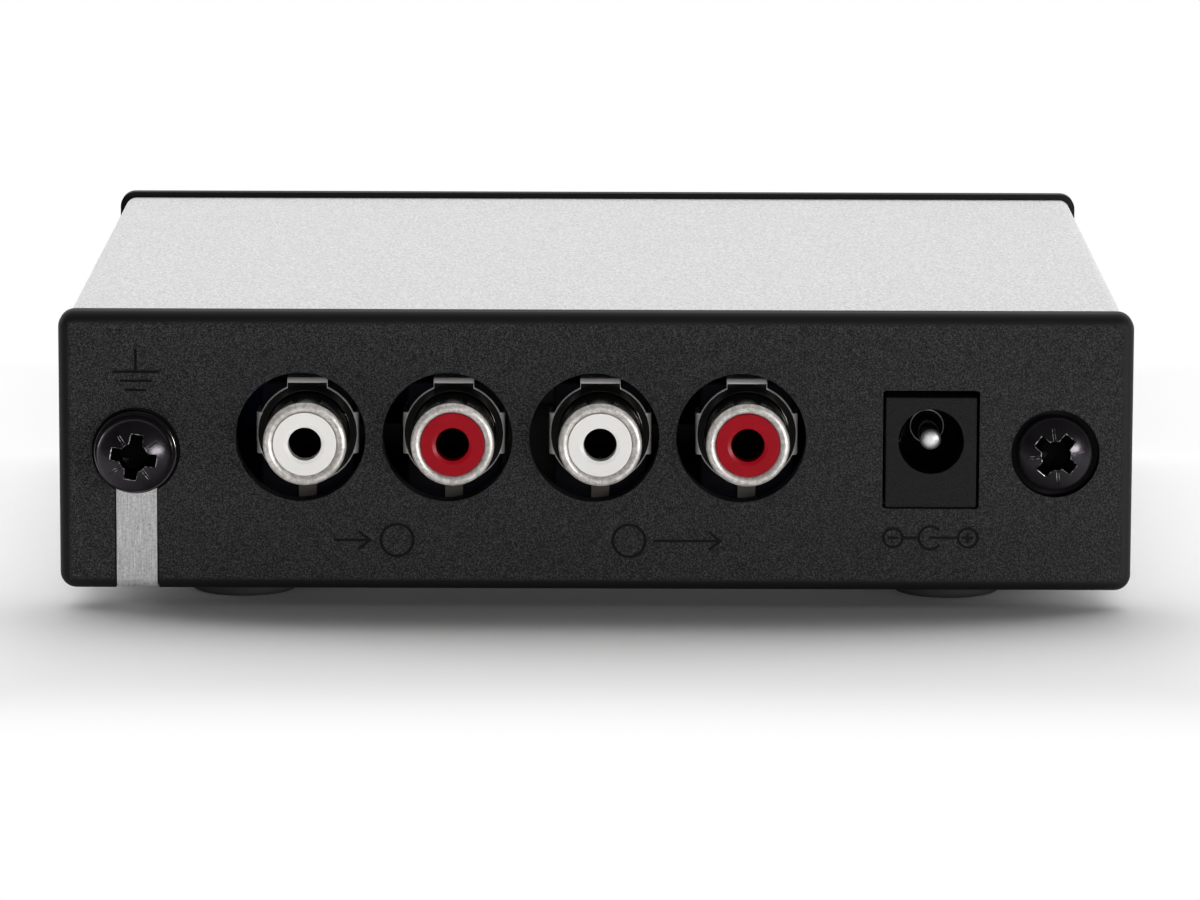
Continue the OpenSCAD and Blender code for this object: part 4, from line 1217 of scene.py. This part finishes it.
# %% Spring
SPRING_T, SPRING_W, SPRING_GAP = 0.3, 2.0, 0.5
crest = -BORE_R + SPRING_GAP - SPRING_T / 2
root = (-BORE_R - 0.3 - SPRING_T / 2, BORE_BOTTOM - 1)
bow = [(crest - 0.09 * abs(i) ** 1.6, -4.95 + 0.45 * i) for i in (-2, -1, 0, 1, 2)]
tip = (-BORE_R - SPRING_T / 3 + SPRING_T / 2 - SPRING_T, -2.55)
spring = strip("power_spring_fine", SPRING_W, [root, *bow, tip], SPRING_T)
spring.data.transform(spun(90) @ Matrix.Scale(-1, 4, (0, 1, 0)))
with editing(spring):
    face_outwards()
soften(spring, SHEET_BEVEL, anywhere, sharper_than=70)
smooth(spring, 40)
finished_with(spring, BRIGHT_NICKEL)
hand_over(spring, POWER_PLACE, "power_spring", "bright_nickel", "power_jack_spring")

# %% [markdown]
# ## Screws
# All screws are black M4 pan heads with a cross recess. Between its wings, fine lines at 45
# degrees mark the recess as the kind with a second, smaller cross. The head is turned from one
# outline. The recess is a tapered cutter, as the real punch is: its bottom is drawn in.

# %% Head and thread
HEAD_R, HEAD_SIDE, HEAD_TOP = 3.75, 1.7, 3.1
SHANK_R, SHANK_L, THREAD_PITCH, THREADS = 2.0, 12.0, 0.7, 16
THREAD_DEPTH, CREST_W, ROOT_AT = 0.34, 0.09, 0.35

dome = HEAD_TOP - HEAD_SIDE
dome_r = (HEAD_R**2 + dome**2) / (2 * dome)


def dome_z(r):
    """Height of the head's dome at a distance from its middle."""
    return HEAD_TOP - dome_r + math.sqrt(dome_r**2 - r**2)


thread = []
for i in range(THREADS):
    z = -SHANK_L + 0.6 + THREAD_PITCH * i
    thread += [(SHANK_R, z), (SHANK_R, z + CREST_W), (SHANK_R - THREAD_DEPTH, z + ROOT_AT)]
screw_outline = [
    (0, -SHANK_L), (SHANK_R - 0.5, -SHANK_L), *thread,
    *near(SHANK_R, 0, (-0.1, -0.2), (-0.1, 0)),
    *near(HEAD_R, 0, (-0.2, 0), (0, 0.2)),
    *near(HEAD_R, HEAD_SIDE, (0, -0.35), (-0.05, -0.12)),
    (HEAD_R - 0.18, dome_z(HEAD_R - 0.18) - 0.02),
    *[(r, dome_z(r)) for r in (3.3, 3.0, 2.7, 2.4, 2.0, 1.6, 1.2, 0.8, 0.4, 0)],
]
screw = turned("screw", screw_outline, 72)
print("screw, still without its recess:", len(screw.data.polygons), "faces")

# %% Recess
RECESS_SPAN, RECESS_WING, RECESS_DEPTH, RECESS_REACH = 4.7, 1.3, 2.4, 2.6
FINE_L, FINE_W, FINE_DEPTH, FINE_R = 1.5, 0.18, 0.13, 2.25
LIP_W = 0.06

low, high = HEAD_TOP - RECESS_DEPTH, HEAD_TOP + 1
for turn in (0, 90):
    wing = post("wing", RECESS_SPAN, RECESS_WING, low, high)
    resize_faces(wing, (0, 0, -1), (0.6, 0.7, 1), (0, 0, low))
    resize_faces(wing, (0, 0, 1), (1.25, 1.15, 1), (0, 0, high))
    wing.data.transform(spun(turn))
    cut(screw, wing)
core_top = HEAD_TOP + 0.2
core = turned("core", [(0, 0.5), (0.5, 0.75), (1.2, 1.1), (1.5, core_top), (0, core_top)], 32)
cut(screw, core)
slope = Matrix.Rotation(math.asin(FINE_R / dome_r), 4, "Y")
on_slope = Matrix.Translation((FINE_R, 0, dome_z(FINE_R))) @ slope
for turn in (45, 135, 225, 315):
    fine_line = post("fine line", FINE_L, FINE_W, -FINE_DEPTH, 1)
    fine_line.data.transform(spun(turn) @ on_slope)
    cut(screw, fine_line)


def over_dome(point):
    """How far a point lies above the dome. Below it, the number is negative."""
    return point.z - dome_z(point.xy.length)


def on_dome(*ends):
    return all(end.xy.length < RECESS_REACH and abs(over_dome(end)) < 0.02 for end in ends)


soften(screw, LIP_W, on_dome, segments=1, sharper_than=30, clamp=False)
smooth(screw, 38)
print("screw:", len(screw.data.polygons), "faces")


# %% Finish and place the screws
# The cross recess is painted near-black, as the shade in it.
def in_shaded_recess(middle, normal):
    in_cross = min(abs(middle.x), abs(middle.y)) < RECESS_WING / 2 + 0.1 or middle.xy.length < 1.5
    deep = middle.z > 0.3 and over_dome(middle) < -0.1
    return in_cross and middle.xy.length < RECESS_REACH and deep


def on_lip(middle, normal):
    """The thin bevel round the recess, where drivers have rubbed the black away."""
    if middle.xy.length > RECESS_REACH or abs(over_dome(middle)) > 0.1:
        return False
    outwards = Vector((middle.x, middle.y, middle.z - HEAD_TOP + dome_r))
    return math.radians(12) < normal.angle(outwards) < math.radians(80)


finished_with(screw, BLACK_OXIDE, (BORE_SHADE_BLACK, in_shaded_recess), (WORN_EDGE, on_lip))

WASHER_PLAY = 0.05
earth_head = back_low.y - box_mm("earth_washer")[0].y + WASHER_PLAY
for name, node, body, side, x, height, turn in (
    ("earth_screw", "earth_screw", "earth_screw", at_back, -SCREW_X, earth_head, 80),
    ("back_screw", "rear_case_screw", "case", at_back, SCREW_X, -SEAT_DEPTH, 51),
    ("front_screw_left", "front_case_screws", "case", at_front, SCREW_X, -SEAT_DEPTH, -51),
    ("front_screw_right", "front_case_screws", "case", at_front, -SCREW_X, -SEAT_DEPTH, 51),
):
    place = side(x, SCREW_H) @ Matrix.Translation((0, 0, height)) @ spun(turn)
    hand_over(copied(screw, name + "_fine"), place, body, "black_oxide_steel", node)
bpy.data.objects.remove(screw)

# %% [markdown]
# ## Earth terminal
# The turntable's earth wire goes under this screw. A captive washer presses it onto a strap of
# sheet steel, which has an eye round the screw, runs down in a groove, bends under the case and
# so touches the bare sleeve. The strap is bent from a strip, and the eye is fused on and drilled.

# %% Strap
STRAP_W, STRAP_T, STRAP_TAIL, EYE_R = 4.0, 0.5, 6, 3.7
strap_top = STRAP_T - GROOVE_DEPTH
strap_mid = strap_top - STRAP_T / 2
bend_r = STRAP_INNER_BEND + STRAP_T / 2
bend_y = PANEL_LIP + STRAP_INNER_BEND
bend_z = strap_top - STRAP_INNER_BEND - STRAP_T
strap_path = [
    (SCREW_H, strap_mid), (bend_y + 0.3, strap_mid), *arc(bend_y, bend_z, bend_r, 90, 180, 16),
    (bend_y - bend_r, bend_z - 0.3), (bend_y - bend_r, -PANEL_T - STRAP_TAIL),
]
strap = strip("earth_strap_fine", STRAP_W, strap_path, STRAP_T)
eye = rod("eye", EYE_R, strap_top - STRAP_T + 0.02, strap_top - 0.02, 96)
eye.data.transform(Matrix.Translation((0, SCREW_H, 0)))
fuse(strap, eye)
drill(strap, 0, SCREW_H, SHANK_HOLE_R, 2, 48)
soften(strap, SHEET_BEVEL, anywhere, sharper_than=70)
take(strap)
bpy.ops.object.shade_smooth_by_angle(angle=math.radians(12))
finished_with(strap, BRUSHED)
hand_over(strap, at_back(-SCREW_X, 0), "case", "strap_steel", "earth_strap")

# %% Washer
WASHER_R, WASHER_T, WASHER_HOLE_R, WASHER_EDGE = 4.1, 0.8, 2.1, 0.2
washer_low = earth_head - WASHER_PLAY - WASHER_T
washer_high = washer_low + WASHER_T
washer_outline = [
    *near(WASHER_HOLE_R, washer_low, (0, 0.05), (0.05, 0)),
    *near(WASHER_R, washer_low, (-0.05, 0), (0, 0.05)),
    *arc(WASHER_R - WASHER_EDGE, washer_high - WASHER_EDGE, WASHER_EDGE, 0, 90),
    *near(WASHER_HOLE_R, washer_high, (0.05, 0), (0, -0.05)),
]
washer = turned("earth_washer_fine", closed(washer_outline), 72)
smooth(washer)
# The washer's rounded edge is nickel painted dark, as the dark it reflects.
finished_with(washer, BLACK_OXIDE, (NICKEL_PAINTED_DARK, between(WASHER_R - WASHER_EDGE, up=0.2)))
hand_over(washer, at_back(-SCREW_X, SCREW_H), "earth_washer", "strap_steel", "earth_washer")

# %% [markdown]
# ## Feet
# Four rubber feet, moulded with a round lower edge and a dished underside, so that only a ring
# touches the shelf. One is turned, and the others are its copies.

# %% Four feet
FOOT_R, FOOT_EDGE, FOOT_DISH = 5.5, 0.6, 0.4
foot_top = FOOT_H + PANEL_LIP
foot_outline = [
    (0, FOOT_DISH), (2.4, FOOT_DISH), (2.9, 0.3), (3.3, 0.05), (3.5, 0),
    *arc(FOOT_R - FOOT_EDGE, FOOT_EDGE, FOOT_EDGE, 270, 360), (FOOT_R, foot_top - 0.5),
    (FOOT_R - 0.12, foot_top), (0, foot_top),
]
foot = turned("foot", foot_outline, 72)
smooth(foot, 30)
finished_with(foot, RUBBER)
feet_low, feet_high = box_mm("rubber_feet")
number = 0
for x in (feet_low.x + FOOT_R, feet_high.x - FOOT_R):
    for y in (feet_low.y + FOOT_R, feet_high.y - FOOT_R):
        number += 1
        place = Matrix.Scale(MM, 4) @ Matrix.Translation((x, y, 0))
        hand_over(copied(foot, f"foot_{number}"), place, "case", "foot_rubber", "rubber_feet")
bpy.data.objects.remove(foot)

# %% [markdown]
# ## The front panel
# The front uses the same plate. It is drilled for two screws, the level control and the power
# light, and has a window for the data socket. Eleven engraved ticks stand round the knob, one for
# every thirty degrees of its turn.


# %% Places on the front
def middle_mm(node):
    """The middle of a node: its x, and its height over the case's edge."""
    low, high = box_mm(node)
    return (low.x + high.x) / 2, (low.z + high.z) / 2 - FOOT_H


KNOB_X, KNOB_H = middle_mm("level_knob")
LIGHT_X, LIGHT_H = middle_mm("power_light")
SOCKET_X = middle_mm("data_socket_shell")[0]
light_low, light_high = box_mm("power_light")
socket_low, socket_high = box_mm("data_socket_shell")
SOCKET_W, SOCKET_H = socket_high.x - socket_low.x, socket_high.z - socket_low.z
BUSHING_R, LIGHT_R, SOCKET_GAP = 3.5, 1.5, 0.3
print(f"knob at {KNOB_X:.1f}, socket at {SOCKET_X:.1f}, light at {LIGHT_X:.1f} mm")

# %% Drill and mark the front
TICKS, TICK_STEP, FIRST_TICK = 11, 30, 240
TICK_START, TICK_END, LONG_TICK_END = 7, 7.9, 8.3

for x in (-SCREW_X, SCREW_X):
    screw_hole(front_plate, x, SEAT_DEPTH)
drill(front_plate, -KNOB_X, KNOB_H, BUSHING_R + 0.15)
drill(front_plate, -LIGHT_X, LIGHT_H, LIGHT_R + 0.1, steps=48)
cut_window(
    front_plate,
    -SOCKET_X - SOCKET_W / 2 - SOCKET_GAP,
    -SOCKET_X + SOCKET_W / 2 + SOCKET_GAP,
    BOARD_H - SOCKET_GAP,
    BOARD_H + SOCKET_H + SOCKET_GAP,
)
soften(front_plate, HOLE_BEVEL, at_hole, sharper_than=60)
knob_middle = Vector((-KNOB_X, KNOB_H))
for i in range(TICKS):
    angle = math.radians(FIRST_TICK - TICK_STEP * i)
    along = Vector((math.cos(angle), math.sin(angle)))
    end = LONG_TICK_END if i % 5 == 0 else TICK_END
    stroke(front_plate, *(knob_middle + TICK_START * along), *(knob_middle + end * along))


def in_a_tick(middle, normal):
    from_knob = (middle.xy - knob_middle).length
    return TICK_START - 0.3 < from_knob < LONG_TICK_END + 0.3 and engraved(middle)


# The screws' seats are painted darker, as the shade in them.
smooth(front_plate)
finished_with(front_plate, TEXTURED_BLACK, (OFF_WHITE, in_a_tick), (MARK_SHADE_BLACK, in_a_shaded_seat))
hand_over(front_plate, at_front(0, 0), "case", "textured_black_plastic", "front_panel")

# %% [markdown]
# ## The level knob
# The knob is turned, then fluted by 24 round cutters, one by one, so that fingers find a grip. A
# white line is let into its face. The shaft behind it is a bar with a flat, which the knob's
# bore grips.

# %% Knob
KNOB_R, KNOB_L, KNOB_GAP, KNOB_EDGE = 5.5, 7.5, 0.6, 0.8
KNOB_FACE = KNOB_GAP + KNOB_L
KNOB_PLACE = at_front(KNOB_X, KNOB_H)
FLUTE_R, FLUTES = 0.4, 24
SHAFT_R, SHAFT_FRONT = 2.0, KNOB_FACE - 1.4
POINTER_W, POINTER_L, POINTER_T = 0.9, 3.6, 0.4

knob_outline = [
    (0, KNOB_GAP + 0.4), *near(KNOB_R, KNOB_GAP, (-1.2, 0.4), (-1.2, 0), (-0.15, 0), (0, 0.15)),
    *arc(KNOB_R - KNOB_EDGE, KNOB_FACE - KNOB_EDGE, KNOB_EDGE, 0, 90, 8),
    *near(KNOB_R - KNOB_EDGE, KNOB_FACE, (-0.6, -0.02), (-1.2, -0.08)), (0, KNOB_FACE - 0.12),
]
knob = turned("level_knob_fine", knob_outline, 96)
for i in range(FLUTES):
    flute = rod("flute", FLUTE_R, -1, KNOB_FACE + 1, 16)
    turn = Matrix.Rotation(2 * math.pi * (i + 0.5) / FLUTES, 4, "Z")
    flute.data.transform(turn @ Matrix.Translation((KNOB_R + FLUTE_R / 2, 0, 0)))
    cut(knob, flute)
cut(knob, rod("bore", SHAFT_R + FIT, -1, SHAFT_FRONT + FIT))


def pointer_block(name, top):
    """The pointer's block, from the bottom of its groove up to a height."""
    low, high = KNOB_R - KNOB_EDGE - POINTER_L, KNOB_R - KNOB_EDGE
    return block(name, (-POINTER_W / 2, low, KNOB_FACE - POINTER_T), (POINTER_W / 2, high, top))


cut(knob, pointer_block("groove", KNOB_FACE + 1))
smooth(knob, 30)
finished_with(knob, KNOB_BLACK)
hand_over(knob, KNOB_PLACE, "level_knob", "knob_black_plastic", "level_knob")

# %% Pointer and shaft
pointer = pointer_block("level_pointer_fine", KNOB_FACE - 0.02)
soften(pointer, 0.12, lambda a, b: min(a.z, b.z) > KNOB_FACE - 0.1, segments=3)
smooth(pointer)
finished_with(pointer, OFF_WHITE)
hand_over(pointer, KNOB_PLACE, "level_knob", "white_plastic", "level_pointer")

shaft_back = box_mm("level_shaft")[0].y - FRONT_Y
shaft_outline = [
    (0, shaft_back), *near(SHAFT_R, shaft_back, (-0.2, 0), (0, 0.2)),
    *near(SHAFT_R, SHAFT_FRONT, (0, -0.4), (-0.4, 0)), (0, SHAFT_FRONT),
]
shaft = turned("level_shaft_fine", shaft_outline, 48)
cut(shaft, block("flat", (-3, SHAFT_R - 0.8, KNOB_GAP), (3, 3, KNOB_FACE)))
smooth(shaft)
finished_with(shaft, SATIN_NICKEL)
hand_over(shaft, KNOB_PLACE, "level_knob", "satin_nickel", "level_shaft")

# %% [markdown]
# ## Data socket and power light
# The data socket is a folded sheet box round a white moulding. Its mouth has two bevelled upper
# corners, so a plug only fits one way up. The tongue in the mouth carries four metal strips. The
# power light is a small clear dome with a rim behind the panel.

# %% Shell of the data socket
SOCKET_L, SOCKET_SHEET = 16.0, 0.4
SOCKET_PLACE = at_front(SOCKET_X, BOARD_H + SOCKET_H / 2)
MOUTH_W, MOUTH_H, MOUTH_BEVEL = 8.45, 7.8, 1.6


def mouth_cutter(low):
    """A cutter for the mouth, with its two upper corners bevelled."""
    cutter = post("mouth", MOUTH_W, MOUTH_H, low, 1)
    soften(cutter, MOUTH_BEVEL, lambda a, b: upright(a, b) and min(a.y, b.y) > 0, segments=1)
    return cutter


def at_socket_mouth(a, b):
    return on_face(a, b) and max(abs(a.x), abs(b.x)) < MOUTH_W / 2 + 0.1


socket = post("data_socket_shell_fine", SOCKET_W, SOCKET_H, -SOCKET_L, 0)
soften(socket, 0.35, lambda a, b: upright(a, b) or on_face(a, b), segments=4)
inner_w, inner_h = SOCKET_W - 2 * SOCKET_SHEET, SOCKET_H - 2 * SOCKET_SHEET
cut(socket, post("hollow", inner_w, inner_h, -SOCKET_L - 1, -SOCKET_SHEET))
cut(socket, mouth_cutter(-SOCKET_SHEET - 0.5))
soften(socket, 0.15, at_socket_mouth, segments=3)
smooth(socket)
finished_with(socket, SATIN_NICKEL)
hand_over(socket, SOCKET_PLACE, "case", "satin_nickel", "data_socket_shell")

# %% Moulding in the data socket
TONGUE_W, TONGUE_H, TONGUE_L = 5.6, 3.2, 8.8
STRIP_X, STRIP_W, STRIP_DEPTH = 1.4, 1.1, 0.15
insert_front = -SOCKET_SHEET - FIT
mouth_bottom = insert_front - TONGUE_L
insert_size = inner_w - 2 * FIT, inner_h - 2 * FIT
insert = post("data_socket_insert_fine", *insert_size, -SOCKET_L + SOCKET_SHEET, insert_front)
cut(insert, mouth_cutter(mouth_bottom))
tongue = post("tongue", TONGUE_W, TONGUE_H, mouth_bottom - 1, insert_front)
soften(tongue, 0.3, lambda a, b: min(a.z, b.z) > insert_front - 0.1, segments=3)
fuse(insert, tongue)
strip_y = TONGUE_H / 2 - STRIP_DEPTH
for side, x in ((1, -STRIP_X), (1, STRIP_X), (-1, -STRIP_X), (-1, STRIP_X)):
    y0, y1 = sorted((side * strip_y, side * (TONGUE_H / 2 + 0.5)))
    low, high = mouth_bottom + 0.2, insert_front - 0.8
    cut(insert, block("slot", (x - STRIP_W / 2, y0, low), (x + STRIP_W / 2, y1, high)))


def on_strip(middle, normal):
    on_floor = abs(abs(middle.y) - strip_y) < 0.01 and abs(normal.y) > SQUARELY
    return on_floor and abs(abs(middle.x) - STRIP_X) < 0.2


smooth(insert)
finished_with(insert, OFF_WHITE, (SATIN_NICKEL, on_strip))
hand_over(insert, SOCKET_PLACE, "case", "white_plastic", "data_socket_insert")

# %% Power light
lens = Finish("green lens")
cloud = lens.noise(0.9)
LENS_GREEN = lens.paint(
    Base_Color=lens.mix(cloud, (0.05, 0.34, 0.1, 1), (0.1, 0.5, 0.17, 1)),
    Roughness=0.12 + 0.05 * cloud,
    Emission_Color=lens.mix(cloud, (0.02, 0.25, 0.05, 1), (0.05, 0.4, 0.1, 1)),
    Emission_Strength=0.35,
)
LENS_RIM, LENS_RIM_L = 0.4, 1.0
light_back, light_tip = light_low.y - FRONT_Y, light_high.y - FRONT_Y
dot_outline = [
    (0, light_back), (LIGHT_R + LENS_RIM, light_back),
    (LIGHT_R + LENS_RIM, light_back + LENS_RIM_L - 0.1),
    (LIGHT_R + LENS_RIM - 0.1, light_back + LENS_RIM_L), (LIGHT_R, light_back + LENS_RIM_L),
    *arc(0, light_tip - LIGHT_R, LIGHT_R, 0, 90, 10),
]
dot = turned("power_light_fine", dot_outline, 48)
smooth(dot, 30)
finished_with(dot, LENS_GREEN)
hand_over(dot, at_front(LIGHT_X, LIGHT_H), "case", "light_lens", "power_light")

# %% [markdown]
# ## What stays from the frame
# The sleeve is a plain extrusion whose shape is already right, so it keeps its own mesh and only
# gets a better finish. The parts on the board are inside the closed case. They keep their shapes
# too, and each gets a finish of its own kind.

# %% Finishes for the frame's own nodes
CHIP_BLACK = moulded("chip black", grey(0.02), 0.55, wave=0.01)
KEPT = {
    "sleeve": ALUMINIUM,
    "circuit_board": moulded("board green", (0.02, 0.13, 0.05, 1), 0.3, coat=0.3),
    "level_control_body": SATIN_NICKEL,
    "power_light_holder": HOUSING_BLACK,
    "amplifier_chips": CHIP_BLACK,
    "converter_chip": CHIP_BLACK,
    "voltage_regulator": CHIP_BLACK,
    "electrolytic_capacitors": moulded(
        "capacitor sleeve", (0.015, 0.02, 0.06, 1), 0.25, coat=0.4
    ),
    "film_capacitors": moulded("film capacitor red", (0.4, 0.04, 0.03, 1), 0.3, coat=0.3),
    "resistors": moulded("resistor blue", (0.12, 0.33, 0.48, 1), 0.35),
    "clock_crystal": SATIN_NICKEL,
}
for node, finish in KEPT.items():
    finished_with(frame["nodes"][node], finish)
print("kept:", ", ".join(KEPT))
